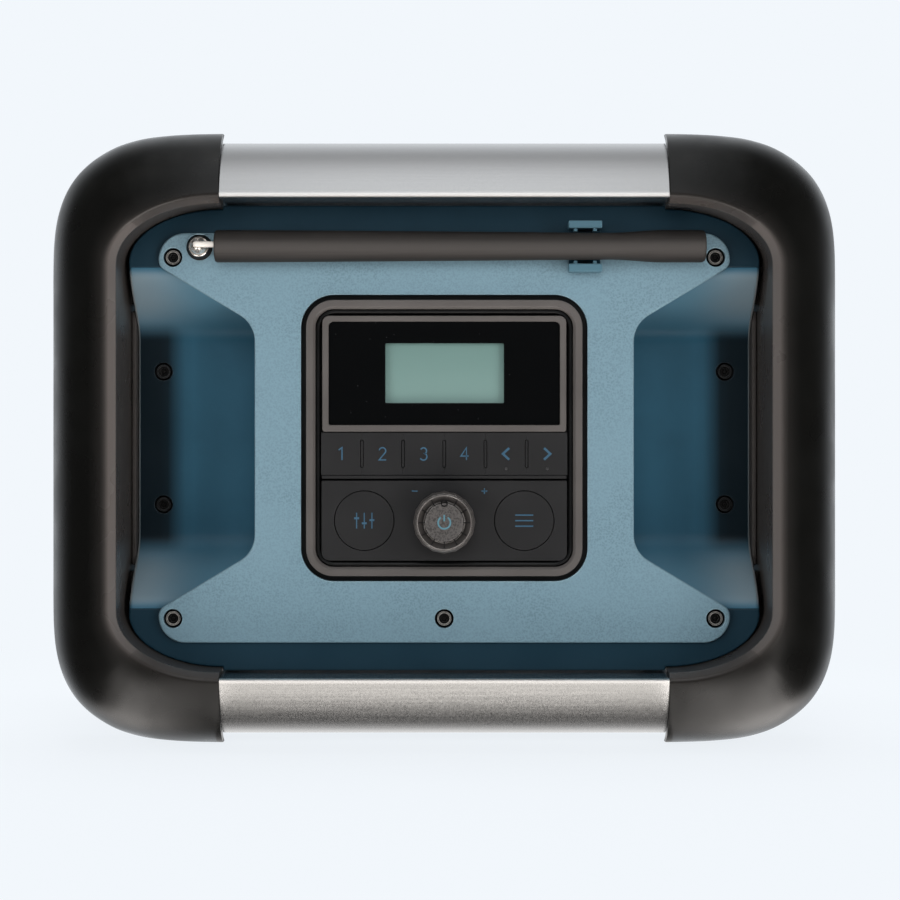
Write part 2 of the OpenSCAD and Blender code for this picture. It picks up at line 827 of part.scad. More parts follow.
module antenna_tongue() {
    color(metal) difference() {
        union() {
            translate([hinge_x, hinge_y, mid_z + hinge_z - tongue_half])
                cylinder(h = 2 * tongue_half, r = 2.2, $fn = 48);
            rod_x(hinge_y, hinge_z, 1.1, hinge_x, hinge_x + whip_start + 14);
        }
        translate([hinge_x, hinge_y, mid_z + hinge_z - 5])
            cylinder(h = 10, r = pin_r + 0.04, $fn = 48);
    }
}

// The rubber whip narrows along its length and swells again at its tip.
module antenna_whip() {
    x0 = hinge_x + whip_start;
    length = whip_len - whip_start;
    thin_r = whip_r * 0.78;
    color(rubber) difference() {
        translate([x0, hinge_y, mid_z + hinge_z]) rotate([0, 90, 0])
            rotate_extrude($fn = 64)
            polygon([[0, 0], [whip_r - 0.8, 0], [whip_r, 0.8], [whip_r, 6],
                     [thin_r, length - 36], [thin_r, length - 30], [whip_r, length - 16],
                     [whip_r, length - 1.4], [whip_r - 1.4, length], [0, length]]);
        rod_x(hinge_y, hinge_z, 1.1, x0 - 1, x0 + 14);
    }
}

// Clip with two arms that the whip lies between.
module antenna_clip() {
    color(pale_blue) {
        block([clip_x0 + 2, front_y - 0.2, hinge_z - 4], [clip_x1 - 2, front_y + 1.5, hinge_z + 4]);
        block([clip_x0, plate_front_y - 1, hinge_z - 9], [clip_x1, plate_front_y, hinge_z + 9.5]);
        block([clip_x0 + 2, plate_front_y - eps, hinge_z - 4],
              [clip_x1 - 2, front_y, hinge_z + 4]);
        for (z = [hinge_z - 9, hinge_z + 6.5])
            block([clip_x0, hinge_y - 1, z], [clip_x1, plate_front_y - 1 + eps, z + 3]);
    }
}

// ---- Speakers -------------------------------------------------------------------------

module speaker_grille() {
    slot_h = 3;
    pitch = 6.4;
    difference() {
        translate([house_x, 0, mid_z]) rotate([90, 0, 90]) linear_extrude(grille_t)
            rounded_rect(-grille_y, -grille_z, grille_y, grille_z, 9);
        for (i = [-6:6]) {
            reach = min(31, sqrt(38 * 38 - pow(i * pitch * 0.86, 2)));
            block([house_x - 1, -reach, i * pitch - slot_h / 2],
                  [house_x + grille_t + 1, reach, i * pitch + slot_h / 2]);
        }
    }
}

// A body of revolution about the speaker's axis: x is the radius, y runs inward.
module speaker_turned() {
    translate([basket_x, 0, mid_z]) rotate([0, -90, 0]) rotate_extrude($fn = 96) children();
}

// Frame of the speaker, with the magnet on its back.
module speaker_basket() {
    speaker_turned() polygon([[34, 0], [speaker_r, 0], [speaker_r, 2.4], [36, 2.4],
                              [24, cone_back], [magnet_r, cone_back],
                              [magnet_r, cone_back + magnet_t], [13, cone_back + magnet_t],
                              [13, cone_back - 2], [22, cone_back - 2], [34, 2]]);
}

module speaker_cone() {
    speaker_turned() polygon([[0, 11], [8, 13], [12, 16], [12.8, 16], [32.5, 1], [34, 1],
                              [34, 2], [32.8, 2.2], [13, 17.5], [11.4, 17.5], [7.6, 14.2],
                              [0, 12.2]]);
}

module speaker_grille_left() { color(dark_grey) mirror([1, 0, 0]) speaker_grille(); }
module speaker_grille_right() { color(dark_grey) speaker_grille(); }
module speaker_basket_left() { color(dark_grey) mirror([1, 0, 0]) speaker_basket(); }
module speaker_basket_right() { color(dark_grey) speaker_basket(); }
module speaker_cone_left() { color(black) mirror([1, 0, 0]) speaker_cone(); }
module speaker_cone_right() { color(black) speaker_cone(); }

// ---- Battery door, terminals and ports ------------------------------------------------

module battery_door() {
    color(blue) difference() {
        union() {
            block([-door_x, rebate_y + 0.2, door_z0], [door_x, back_y + 0.2, door_z1]);
            block([-latch_x - 3, rebate_y - 3, latch_z0 - 7], [latch_x + 3, back_y, bay_z - 1]);
            for (i = [-4:4]) block([i * 13 - 1.5, back_y, -36], [i * 13 + 1.5, back_y + 1.2, 24]);
            both_sides() {
                rod_x(door_axis[0], door_axis[1], barrel_r, barrel_x0, barrel_x1);
                block([barrel_x0, rebate_y + 0.2, door_axis[1]],
                      [barrel_x1, door_axis[0], door_z0 + 1]);
            }
        }
        both_sides() rod_x(door_axis[0], door_axis[1], barrel_pin_r + 0.05, 20, 60);
        block([-latch_x - 0.3, rebate_y + 0.1, latch_z0 - 3.6],
              [latch_x + 0.3, back_y + 2, door_z1 + 1]);
    }
}

module door_hinge_pins() {
    color(metal) both_sides()
        rod_x(door_axis[0], door_axis[1], barrel_pin_r, barrel_x0 - 6, barrel_x1 + 6);
}

// Sliding catch of the battery door, with three ridges for the thumb.
module door_latch() {
    color(dark_grey) {
        block([-latch_x, rebate_y + 0.3, latch_z0], [latch_x, back_y + 0.6, door_z1]);
        block([-latch_x + 2, rebate_y + 1.3, door_z1 - eps], [latch_x - 2, back_y, door_z1 + 2.6]);
        for (z = [36, 39, 42])
            block([-latch_x + 2, back_y + 0.6 - eps, z - 0.6], [latch_x - 2, back_y + 1.6, z + 0.6]);
    }
}

module terminal_block() {
    color(black) {
        difference() {
            block([-34, bay_floor_y, -16], [26, bay_floor_y + 7, 16]);
            block([-30, bay_floor_y + 3, -12], [20, bay_floor_y + 8, 12]);
        }
        for (z = [-9, -3, 3, 9])
            block([-26, bay_floor_y + 3 - eps, z - 0.5], [-8, bay_floor_y + 6.5, z + 0.5]);
    }
}

module port_cover() {
    color(rubber) {
        block([-port_x + 0.5, back_y - flap_t + 0.2, port_z0 + 0.5],
              [port_x - 0.5, back_y + 0.2, port_z1 - 0.5]);
        rod_x(flap_axis[0], flap_axis[1], 1.2, -20, 20);
        block([-20, back_y - 0.8, flap_axis[1]], [20, back_y + 0.2, port_z0 + 0.6]);
        block([-8, back_y + 0.2 - eps, port_z1 - 4], [8, back_y + 1.8, port_z1 - 1.5]);
    }
}

module aux_jack() {
    color(black) difference() {
        union() {
            rod_y(-20, 64.5, 4, port_floor_y - 14, port_floor_y + 0.6);
            block([-25, port_floor_y - 14, 60.5], [-15, port_floor_y - 2, 68.5]);
        }
        rod_y(-20, 64.5, 1.8, port_floor_y - 13, port_floor_y + 1);
    }
}

module usb_socket() {
    color(metal) {
        difference() {
            block([4, port_floor_y - 12, 61], [20, port_floor_y + 0.4, 68.5]);
            block([5, port_floor_y - 11, 62], [19, port_floor_y + 1, 67.5]);
        }
        block([6, port_floor_y - 11 - eps, 65], [18, port_floor_y - 2, 66.6]);
    }
}

front_housing();
side_panel_left();
side_panel_right();
rear_housing();
frame_lugs();
housing_gasket();
face_plate();
panel_tray();
panel_bezel();
display_frame();
display_lens();
lcd_module();
control_pad();
key_1();
key_2();
key_3();
key_4();
key_5();
key_6();
tone_button();
menu_button();
volume_knob();
knob_cap();
encoder_shaft();
encoder_plunger();
encoder_body();
main_board();
amplifier_board();
antenna_socket();
antenna_knuckle();
antenna_pin();
antenna_tongue();
antenna_whip();
antenna_clip();
bumper_front_left();
bumper_front_right();
bumper_rear_left();
bumper_rear_right();
rail_front_top();
rail_front_bottom();
rail_rear_top();
rail_rear_bottom();
speaker_grille_left();
speaker_grille_right();
speaker_basket_left();
speaker_basket_right();
speaker_cone_left();
speaker_cone_right();
battery_door();
door_hinge_pins();
door_latch();
terminal_block();
port_cover();
aux_jack();
usb_socket();
face_screws();
recess_screws();
rear_screws();
frame_screws();
board_screws();
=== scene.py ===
"""The jobsite radio's finished pieces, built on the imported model.

Sizes are in millimetres: X from the middle to the right, Y from the middle to the back, and Z
from the middle height of the radio up. spot() turns them into the model's metres."""

import math

import bmesh
import bpy
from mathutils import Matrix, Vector
from mathutils.geometry import tessellate_polygon


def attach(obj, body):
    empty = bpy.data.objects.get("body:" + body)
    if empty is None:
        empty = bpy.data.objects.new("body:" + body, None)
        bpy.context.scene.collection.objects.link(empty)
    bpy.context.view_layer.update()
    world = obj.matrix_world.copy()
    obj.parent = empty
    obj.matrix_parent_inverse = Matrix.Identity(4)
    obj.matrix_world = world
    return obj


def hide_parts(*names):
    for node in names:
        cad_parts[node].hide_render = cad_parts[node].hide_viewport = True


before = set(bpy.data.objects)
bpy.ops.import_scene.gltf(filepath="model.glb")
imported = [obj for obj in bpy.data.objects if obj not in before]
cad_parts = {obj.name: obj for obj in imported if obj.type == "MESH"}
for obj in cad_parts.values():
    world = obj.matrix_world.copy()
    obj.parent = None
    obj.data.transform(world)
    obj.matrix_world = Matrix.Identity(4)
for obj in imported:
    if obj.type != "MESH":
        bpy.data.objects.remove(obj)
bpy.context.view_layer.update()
scene = bpy.context.scene

MIDDLE = 116.8          # height of the radio's middle above the floor
CREST_Y = -95           # front line of the front bumpers
FRONT_Y = -71           # front face of the housing
PLATE_Y = -73           # front face of the face plate
RING_BACK = 56          # depth of a ring frame behind its crest
WIDEST = 36.0           # depth of its widest line behind its crest
JOINT_X = 84            # where a bumper ends and a rail begins
HINGE = (-92.8, -80.0, 72.3)
KNOB_Z = -31.6
SIDES = (("left", -1), ("right", 1))
WELD = 2e-6             # metres between points that become one
TINY = 1e-6


def spot(x, y, z):
    return Vector((x, y, z + MIDDLE)) / 1000


def linked(name, data):
    """A new object in the scene."""
    thing = bpy.data.objects.new(name, data)
    scene.collection.objects.link(thing)
    return thing


# ---- Outlines: lists of (x, z), anticlockwise ------------------------------------------

def arc(cx, cz, r, start, end, steps, rz=None):
    """Part of a circle, or of an oval where rz is its other radius."""
    angles = [math.radians(start + (end - start) * i / steps) for i in range(steps + 1)]
    return [(cx + r * math.cos(a), cz + (rz or r) * math.sin(a)) for a in angles]


def disc(x, z, r, steps=48):
    return arc(x, z, r, 0, 360, steps)[:-1]


def oblong(x0, z0, x1, z1, low_r, top_r=None, steps=7):
    top_r = top_r or low_r
    corners = ((x1 - low_r, z0 + low_r, low_r), (x1 - top_r, z1 - top_r, top_r),
               (x0 + top_r, z1 - top_r, top_r), (x0 + low_r, z0 + low_r, low_r))
    return [p for i, corner in enumerate(corners)
            for p in arc(*corner, 90 * i - 90, 90 * i, steps)]


def square(half, r):
    return oblong(-half, -half, half, half, r, steps=12)


def star(x, z, r, lobes=6, depth=0.22, steps=36):
    points = []
    for i in range(steps):
        a = 2 * math.pi * i / steps
        reach = r * (1 - depth * (0.5 - 0.5 * math.cos(lobes * a)))
        points.append((x + reach * math.cos(a), z + reach * math.sin(a)))
    return points


def both_ways(x, z):
    """The four places at x and z from the middle."""
    return [(sx * x, sz * z) for sx in (-1, 1) for sz in (-1, 1)]


def four_ways(quarter):
    """A whole outline from its upper right quarter, which runs from the top to the right."""
    outline = []
    for sx, sz in ((1, 1), (-1, 1), (-1, -1), (1, -1)):
        side = [(sx * x, sz * z) for x, z in quarter]
        outline += side if sx * sz < 0 else side[::-1]
    return outline


def without_twins(points):
    out = []
    for p in points:
        if not out or math.dist(p, out[-1]) > 1e-4:
            out.append(p)
    return out[:-1] if math.dist(out[0], out[-1]) < 1e-4 else out


def shrunk(points, by):
    """Moves an anticlockwise outline inwards. A clockwise one, a hole, grows."""
    if by == 0:
        return points
    out = []
    for (ax, az), (bx, bz), (cx, cz) in zip(points[-1:] + points, points,
                                            points[1:] + points[:1]):
        one = Vector((az - bz, bx - ax)).normalized()
        two = Vector((bz - cz, cx - bx)).normalized()
        side = (one + two).normalized()
        side *= by / max(0.35, side.dot(one))
        out.append((bx + side.x, bz + side.y))
    return out


def smoothed(knots, per_span=4):
    """A Catmull-Rom line through the knots."""
    out = []
    for i in range(len(knots) - 1):
        p = [Vector(knots[max(0, min(len(knots) - 1, i + k))]) for k in (-1, 0, 1, 2)]
        for j in range(per_span):
            t = j / per_span
            out.append(0.5 * (2 * p[1] + (p[2] - p[0]) * t
                              + (2 * p[0] - 5 * p[1] + 4 * p[2] - p[3]) * t * t
                              + (3 * p[1] - p[0] - 3 * p[2] + p[3]) * t ** 3))
    return out + [Vector(knots[-1])]


def value_at(z, line):
    """Reads a falling line of (z, value) at a height above or below the middle."""
    z = abs(z)
    if z <= line[-1][0]:
        return line[-1][1]
    for (az, one), (bz, two) in zip(line, line[1:]):
        if bz <= z <= az:
            return one + (two - one) * (az - z) / max(TINY, az - bz)
    return line[0][1]


def eased_step(value, low, high):
    t = max(0.0, min(1.0, (value - low) / (high - low)))
    return t * t * (3 - 2 * t)


# ---- Moulds: rings of points and the skins between them --------------------------------

def rounded_levels(front, edge, steps):
    """(inset, y) of a quarter round that ends on the front face."""
    angles = [math.radians(90 * i / steps) for i in range(steps + 1)]
    return [(edge * (1 - math.cos(a)), front + edge * (1 - math.sin(a))) for a in angles]


class Mould:
    def __init__(self):
        self.points, self.faces, self.shares = [], [], {}

    def ring(self, points, **shares):
        """Adds a ring of points. Each share, such as lip=, is a number per point."""
        first = len(self.points)
        self.points.extend(tuple(p) for p in points)
        for name, values in shares.items():
            known = self.shares.setdefault(name, [])
            known.extend([0.0] * (first - len(known)) + list(values))
        return list(range(first, len(self.points)))

    def flat(self, outline, y):
        """A ring at one depth."""
        return self.ring([(x, y, z) for x, z in outline])

    def skins(self, rings, closed=True):
        for one, two in zip(rings, rings[1:]):
            for i in range(len(one) if closed else len(one) - 1):
                j = (i + 1) % len(one)
                self.faces.append((one[i], one[j], two[j], two[i]))

    def lid(self, *rings):
        """Closes the first ring. The others stay open as holes in it."""
        ids = [i for ring in rings for i in ring]
        loops = [[Vector(self.points[i]) for i in ring] for ring in rings]
        self.faces.extend(tuple(ids[k] for k in tri) for tri in tessellate_polygon(loops))

    def tube(self, *runs):
        """Skins runs of rings and closes both ends. The runs after the first are holes."""
        for rings in runs:
            self.skins(rings)
        for end in (0, -1):
            self.lid(*[rings[end] for rings in runs])
        return self

    def slab(self, outline, back, front, edge, holes=(), back_edge=0.0, steps=4,
             hole_edge=None):
        """A plate from depth back to depth front with a rounded front edge."""
        levels = [(back_edge, back)] + ([(0, back - back_edge)] if back_edge else [])
        rounds = [edge] + [hole_edge or edge] * len(holes)
        loops = [without_twins(outline)] + [without_twins(h)[::-1] for h in holes]
        return self.tube(*[[self.flat(shrunk(loop, by), y)
                            for by, y in levels + rounded_levels(front, round_by, steps)]
                           for loop, round_by in zip(loops, rounds)])

    def turned(self, axis, one, two, profile, steps):
        """A body turned about a line along an axis. The profile holds (radius, depth)."""
        at = "xyz".index(axis)
        self.skins([self.ring([(*p[:at], depth, *p[at:]) for p in disc(one, two, r, steps)])
                    for r, depth in profile])
        return self

    def box(self, low, high, edge):
        """A block with rounded edges, which the even shading needs."""
        return self.slab(oblong(low[0], low[2], high[0], high[2], edge, steps=2), high[1],
                         low[1], edge, back_edge=edge, steps=2)

    def move(self, change):
        self.points = [change(*p) for p in self.points]
        return self

    def mesh(self, name):
        mesh = bpy.data.meshes.new(name)
        mesh.from_pydata([spot(*p) for p in self.points], [], self.faces)
        for label, values in self.shares.items():
            store(mesh, label, values + [0.0] * (len(self.points) - len(values)))
        return mesh

    def cast(self, name, finish, slot=None, body="radio", crease=40):
        return finished(name, self.mesh(name), finish, slot, body, crease)


def store(mesh, label, values):
    mesh.attributes.new(label, "FLOAT", "POINT").data.foreach_set("value", values)


def cleaned(mesh, crease):
    """Joins loose points, turns the faces outwards and marks the sharp creases."""
    work = bmesh.new()
    work.from_mesh(mesh)
    bmesh.ops.remove_doubles(work, verts=work.verts, dist=WELD)
    bmesh.ops.dissolve_degenerate(work, edges=work.edges, dist=TINY)
    bmesh.ops.recalc_face_normals(work, faces=work.faces)
    for face in work.faces:
        face.smooth = True
        face.material_index = 0
    for edge in work.edges:
        edge.smooth = len(edge.link_faces) == 2 and (
            edge.calc_face_angle(0) < math.radians(crease))
    work.to_mesh(mesh)
    work.free()


def evened(piece):
    piece.modifiers.new("even shading", "WEIGHTED_NORMAL").keep_sharp = True


def finished(name, mesh, finish, slot, body, crease):
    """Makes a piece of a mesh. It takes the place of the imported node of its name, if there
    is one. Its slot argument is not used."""
    cleaned(mesh, crease)
    mesh.materials.clear()
    mesh.materials.append(FINISHES[finish])
    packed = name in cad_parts
    piece = linked(name + "_piece" if packed else name, mesh)
    evened(piece)
    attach(piece, body)
    if packed:
        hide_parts(name)
    slot or finish
    return piece


def carved(piece, tool, crease):
    """Cuts the tool's shape out of the piece and cleans what is left."""
    cutter = linked("tool", tool.mesh("tool"))
    cleaned(cutter.data, crease)
    piece.modifiers.clear()
    cut = piece.modifiers.new("cut", "BOOLEAN")
    cut.operation, cut.solver, cut.object = "DIFFERENCE", "EXACT", cutter
    graph = bpy.context.evaluated_depsgraph_get()
    piece.data = bpy.data.meshes.new_from_object(piece.evaluated_get(graph))
    piece.modifiers.clear()
    bpy.data.objects.remove(cutter)
    cleaned(piece.data, crease)
    evened(piece)
    return piece


def painted(piece, **masks):
    """Stores masks on the piece's points. Each mask is a function of x, y and z."""
    for label, mask in masks.items():
        store(piece.data, label, [mask(p.co.x * 1000, p.co.y * 1000, p.co.z * 1000 - MIDDLE)
                                  for p in piece.data.vertices])


def eased(node, finish, edge, body="radio", slot=None):
    """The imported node's own shape with its sharp edges rounded over."""
    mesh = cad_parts[node].data.copy()
    work = bmesh.new()
    work.from_mesh(mesh)
    bmesh.ops.remove_doubles(work, verts=work.verts, dist=WELD)
    bmesh.ops.dissolve_limit(work, angle_limit=math.radians(1), verts=work.verts,
                             edges=work.edges)
    work.to_mesh(mesh)
    work.free()
    sharp = 34
    piece = finished(node, mesh, finish, slot, body, sharp)
    rounding = piece.modifiers.new("rounded edges", "BEVEL")
    rounding.width = edge / 1000
    rounding.segments = 2
    rounding.limit_method = "ANGLE"
    rounding.angle_limit = math.radians(sharp)
    rounding.use_clamp_overlap = True
    piece.modifiers.move(1, 0)


# ---- Finishes --------------------------------------------------------------------------

def tone(*steps):
    """A colour written as 0 to 255 steps, as the shader wants it."""
    return (*[c / 12.92 if c <= 0.04045 else ((c + 0.055) / 1.055) ** 2.4
              for c in [step / 255 for step in steps]], 1)


def scaled(colour, by):
    return (*[min(1, c * by) for c in colour[:3]], 1)


class Wiring:
    """Places nodes in a tree and joins them."""

    def __init__(self, tree):
        self.tree = tree

    def add(self, kind, inputs=None, **settings):
        node = self.tree.nodes.new("ShaderNode" + kind)
        for key, value in settings.items():
            setattr(node, key, value)
        for key, value in (inputs or {}).items():
            self.feed(node.inputs[key], value)
        return node

    def feed(self, socket, value):
        if isinstance(value, bpy.types.NodeSocket):
            self.tree.links.new(value, socket)
        else:
            socket.default_value = value

    def sum(self, operation, *values):
        return self.add("Math", dict(enumerate(values)), operation=operation).outputs[0]

    def times(self, one, two):
        return self.sum("MULTIPLY", one, two)

    def plus(self, one, two):
        return self.sum("ADD", one, two)

    def vector(self, operation, *values):
        return self.add("VectorMath", dict(enumerate(values)), operation=operation).outputs

    def between(self, value, low, high, to_low=0.0, to_high=1.0, smooth=True):
        return self.add("MapRange", {"Value": value, "From Min": low, "From Max": high,
                                     "To Min": to_low, "To Max": to_high},
                        interpolation_type="SMOOTHSTEP" if smooth else "LINEAR"
                        ).outputs["Result"]

    def blend(self, amount, one, two):
        return self.add("Mix", {0: amount, 6: one, 7: two}, data_type="RGBA").outputs[2]

    def place(self):
        return self.add("TexCoord").outputs["Object"]

    def normal(self):
        return self.add("NewGeometry").outputs["Normal"]

    def parts(self, vector):
        return self.add("SeparateXYZ", {"Vector": vector}).outputs

    def noise(self, place, scale, detail=2.0, roughness=0.5):
        return self.add("TexNoise", {"Vector": place, "Scale": scale, "Detail": detail,
                                     "Roughness": roughness}).outputs["Fac"]

    def cells(self, place, scale):
        return self.add("TexVoronoi", {"Vector": place, "Scale": scale}).outputs["Distance"]

    def share(self, label):
        """A share stored on the piece's points."""
        return self.add("Attribute", attribute_name=label).outputs["Fac"]

    def relief(self, height, depth):
        """The normal of a relief that is depth millimetres deep."""
        return self.add("Bump", {"Height": height, "Distance": depth / 1000}
                        ).outputs["Normal"]

    def rays(self):
        """Whether the camera sees a place itself, and whether it sees it by way of gloss."""
        rays = self.add("LightPath").outputs
        return rays["Is Camera Ray"], self.sum("MAXIMUM", rays["Is Glossy Ray"],
                                               rays["Is Transmission Ray"])


def effect(name, inputs, *outputs):
    """A shared effect: a node group whose inputs and outputs are named numbers."""
    tree = bpy.data.node_groups.new(name, "ShaderNodeTree")
    for label, value in inputs.items():
        socket = tree.interface.new_socket(label, in_out="INPUT",
                                           socket_type="NodeSocketFloat")
        socket.default_value = value
    for label in outputs:
        tree.interface.new_socket(label, in_out="OUTPUT", socket_type="NodeSocketFloat")
    source, sink = tree.nodes.new("NodeGroupInput"), tree.nodes.new("NodeGroupOutput")
    return tree, Wiring(tree), source.outputs, sink.inputs


def grain_effect():
    """Fine spark-eroded grain of a moulding, with slow changes of tone across it."""
    tree, wire, given, out = effect("moulded grain", {"Grain mm": 0.5, "Mottle mm": 25.0},
                                    "Height", "Mottle")
    place = wire.place()
    fine = wire.noise(place, wire.sum("DIVIDE", 1000.0, given["Grain mm"]), 2.0, 0.6)
    pits = wire.cells(place, wire.sum("DIVIDE", 700.0, given["Grain mm"]))
    slow = wire.noise(place, wire.sum("DIVIDE", 1000.0, given["Mottle mm"]), 3.0, 0.55)
    wire.feed(out["Height"], wire.plus(wire.times(fine, 0.65), wire.times(pits, 0.35)))
    wire.feed(out["Mottle"], wire.between(slow, 0.3, 0.7))
    return tree


def rub_and_highlight_effect():
    """Pale outer edges, broken up: wear where hands and the bench rubbed the piece, and a
    painted highlight along its edges.
    """
    tree, wire, given, out = effect("rubbed edges and painted highlights", {"Width mm": 0.5, "Amount": 0.5}, "Rub and highlight")
    rounded = wire.add("Bevel", {"Radius": wire.sum("DIVIDE", given["Width mm"], 1000.0)},
                       samples=4)
    along = wire.vector("DOT_PRODUCT", rounded.outputs["Normal"], wire.normal())
    edge = wire.between(along["Value"], 0.995, 0.85)
    broken = wire.between(wire.noise(wire.place(), 140.0, 4.0, 0.65), 0.35, 0.7, 0.25, 1.0)
    wire.feed(out["Rub and highlight"], wire.times(wire.times(edge, broken), given["Amount"]))
    return tree


def dust_effect():
    """Workshop dust that settles on what faces up, in drifts."""
    tree, wire, given, out = effect("settled dust", {"Amount": 0.2}, "Dust")
    facing = wire.between(wire.parts(wire.normal())["Z"], 0.2, 1.0)
    drifts = wire.between(wire.noise(wire.place(), 60.0, 6.0, 0.7), 0.42, 0.75)
    wire.feed(out["Dust"], wire.times(wire.times(facing, drifts), given["Amount"]))
    return tree


def drawn_effect():
    """Fine lines that extrusion or moulding leaves along X."""
    tree, wire, given, out = effect("drawn lines", {"Spacing mm": 0.5}, "Lines")
    close = wire.sum("DIVIDE", 1000.0, given["Spacing mm"])
    pull = wire.add("CombineXYZ", {"X": 25.0, "Y": close, "Z": close}).outputs["Vector"]
    drawn = wire.vector("MULTIPLY", wire.place(), pull)["Vector"]
    wire.feed(out["Lines"], wire.between(wire.noise(drawn, 1.0), 0.3, 0.7))
    return tree


GRAIN, RUB_AND_HIGHLIGHT, DUST, DRAWN = grain_effect(), rub_and_highlight_effect(), dust_effect(), drawn_effect()
DUST_TONE = tone(150, 146, 138)
DUST_DULLS = 0.3        # how much rougher full dust makes a face
ROUGH_CHANGE = 0.06     # of the roughness, up and down with the mottling


def emptied(owner, end="OutputMaterial"):
    """The wiring of a material or world whose nodes are cleared, and its output."""
    owner.use_nodes = True
    owner.node_tree.nodes.clear()
    wire = Wiring(owner.node_tree)
    return wire, wire.add(end).inputs["Surface"]


def new_finish(name):
    material = bpy.data.materials.new(name)
    wire, surface = emptied(material)
    shader = wire.add("BsdfPrincipled")
    wire.feed(surface, shader.outputs["BSDF"])
    return material, wire, shader.inputs


def moulded(name, colour, rough, grain, bump, edge_rub_and_highlight, edge_rub_and_highlight_tone, edge_rub_and_highlight_width, dust, tone_change,
            specular, fleck=0, lines=0, shares=()):
    """Moulded plastic or rubber: grain, slow changes of tone, edges that are rubbed and carry a
    painted highlight, and dust.
    """
    material, wire, shader = new_finish(name)
    grains = wire.add("Group", {"Grain mm": grain}, node_tree=GRAIN).outputs
    edge_rubs_and_highlights = wire.add("Group", {"Width mm": edge_rub_and_highlight_width, "Amount": edge_rub_and_highlight}, node_tree=RUB_AND_HIGHLIGHT)
    dusts = wire.add("Group", {"Amount": dust}, node_tree=DUST).outputs["Dust"]
    base = tone(*colour)
    light = scaled(base, 1 + tone_change)
    wear_and_highlight = tone(*(edge_rub_and_highlight_tone or [min(255, c * 1.5 + 22) for c in colour]))
    speckle = wire.between(grains["Height"], 0.36, 0.6)
    skin = wire.blend(grains["Mottle"], scaled(base, 1 - tone_change), light)
    skin = wire.blend(wire.times(speckle, tone_change * 1.5), skin, light)
    if fleck:
        skin = wire.blend(speckle, skin, scaled(base, 1 + fleck))
    if lines:
        drawn = wire.add("Group", node_tree=DRAWN).outputs["Lines"]
        skin = wire.blend(wire.times(drawn, lines), skin, tone(*[c * 0.72 for c in colour]))
    for label, share_tone in shares:
        skin = wire.blend(wire.share(label), skin, tone(*share_tone))
    skin = wire.blend(edge_rubs_and_highlights.outputs["Rub and highlight"], skin, wear_and_highlight)
    wire.feed(shader["Base Color"], wire.blend(dusts, skin, DUST_TONE))
    rough_now = wire.between(grains["Mottle"], 0, 1, rough - ROUGH_CHANGE,
                             rough + ROUGH_CHANGE, smooth=False)
    wire.feed(shader["Roughness"], wire.plus(rough_now, wire.times(dusts, DUST_DULLS)))
    wire.feed(shader["Normal"], wire.relief(grains["Height"], bump))
    wire.feed(shader["Specular IOR Level"], specular)
    return material


def blasted_aluminium():
    """Bead-blasted, clear-anodised rail: pits that hands polish away, and a pale, less metallic
    line along the crest that the lamps light as a painted highlight.
    """
    material, wire, shader = new_finish("rail_aluminium")
    place, sparkle, crest = wire.place(), wire.share("sparkle"), wire.share("crest")
    height = wire.plus(wire.noise(place, 2700.0, 1.0),
                       wire.times(wire.noise(place, 2000.0, 1.0), 0.3))
    drawn = wire.add("Group", {"Spacing mm": 0.7}, node_tree=DRAWN).outputs["Lines"]
    pitted = wire.plus(wire.times(wire.between(height, 0.5, 0.8), 0.75),
                       wire.times(drawn, 0.25))
    middle_grey = 0.45
    grey = wire.plus(wire.times(wire.sum("SUBTRACT", pitted, middle_grey), sparkle),
                     middle_grey)
    metal = wire.blend(grey, tone(150, 150, 150), tone(230, 229, 228))
    wire.feed(shader["Base Color"], wire.blend(crest, metal, tone(229, 227, 224)))
    wire.feed(shader["Metallic"], wire.sum("SUBTRACT", 1.0, wire.times(crest, 0.85)))
    dulled = wire.between(height, 0.4, 0.9, -0.04, 0.05)
    wire.feed(shader["Roughness"], wire.plus(wire.times(dulled, sparkle), 0.26))
    wire.feed(shader["Normal"], wire.relief(wire.times(height, sparkle), 0.02))
    return material


def bright_metal(name, colour, rough, scratch, metallic):
    """Plated or machined metal with faint hairline scratches."""
    material, wire, shader = new_finish(name)
    stretch = wire.add("Mapping", {"Vector": wire.place(), "Scale": (60, 900, 900)})
    film = wire.between(wire.noise(stretch.outputs["Vector"], 3.0, 4.0), 0.3, 0.7)
    base = tone(*colour)
    wire.feed(shader["Base Color"], wire.blend(film, scaled(base, 1 - scratch * 0.5), base))
    wire.feed(shader["Metallic"], metallic)
    wire.feed(shader["Roughness"],
              wire.sum("ADD", rough, wire.times(film, scratch * 0.25)))
    return material


def gloss_lens():
    """Black acrylic of the display, with faint wiping marks and a few dust specks."""
    material, wire, shader = new_finish("lens_black")
    place = wire.place()
    speck = wire.between(wire.cells(place, 260.0), 0.07, 0.03)
    wire.feed(shader["Base Color"],
              wire.blend(wire.times(speck, 0.12), tone(9, 10, 11), tone(120, 122, 124)))
    wire.feed(shader["Roughness"],
              wire.between(wire.noise(place, 70.0, 5.0), 0.3, 0.8, 0.05, 0.16))
    return material


def display_film():
    """Grey-green liquid crystal glass: a fine dot grid and a slow drift of tone."""
    material, wire, shader = new_finish("lcd_green")
    place = wire.place()
    parts = wire.parts(place)
    columns, rows = [wire.between(wire.sum("FRACT", wire.times(parts[axis], 1250.0)),
                                  0.86, 1.0) for axis in "XZ"]
    drift = wire.between(parts["Z"], 0.128, 0.154)
    film = wire.blend(drift, tone(122, 152, 147), tone(108, 139, 134))
    wire.feed(shader["Base Color"],
              wire.blend(wire.times(wire.sum("MAXIMUM", columns, rows), 0.12), film,
                         tone(80, 110, 104)))
    wire.feed(shader["Roughness"], wire.between(wire.noise(place, 300.0), 0.2, 0.8, 0.3, 0.42))
    return material


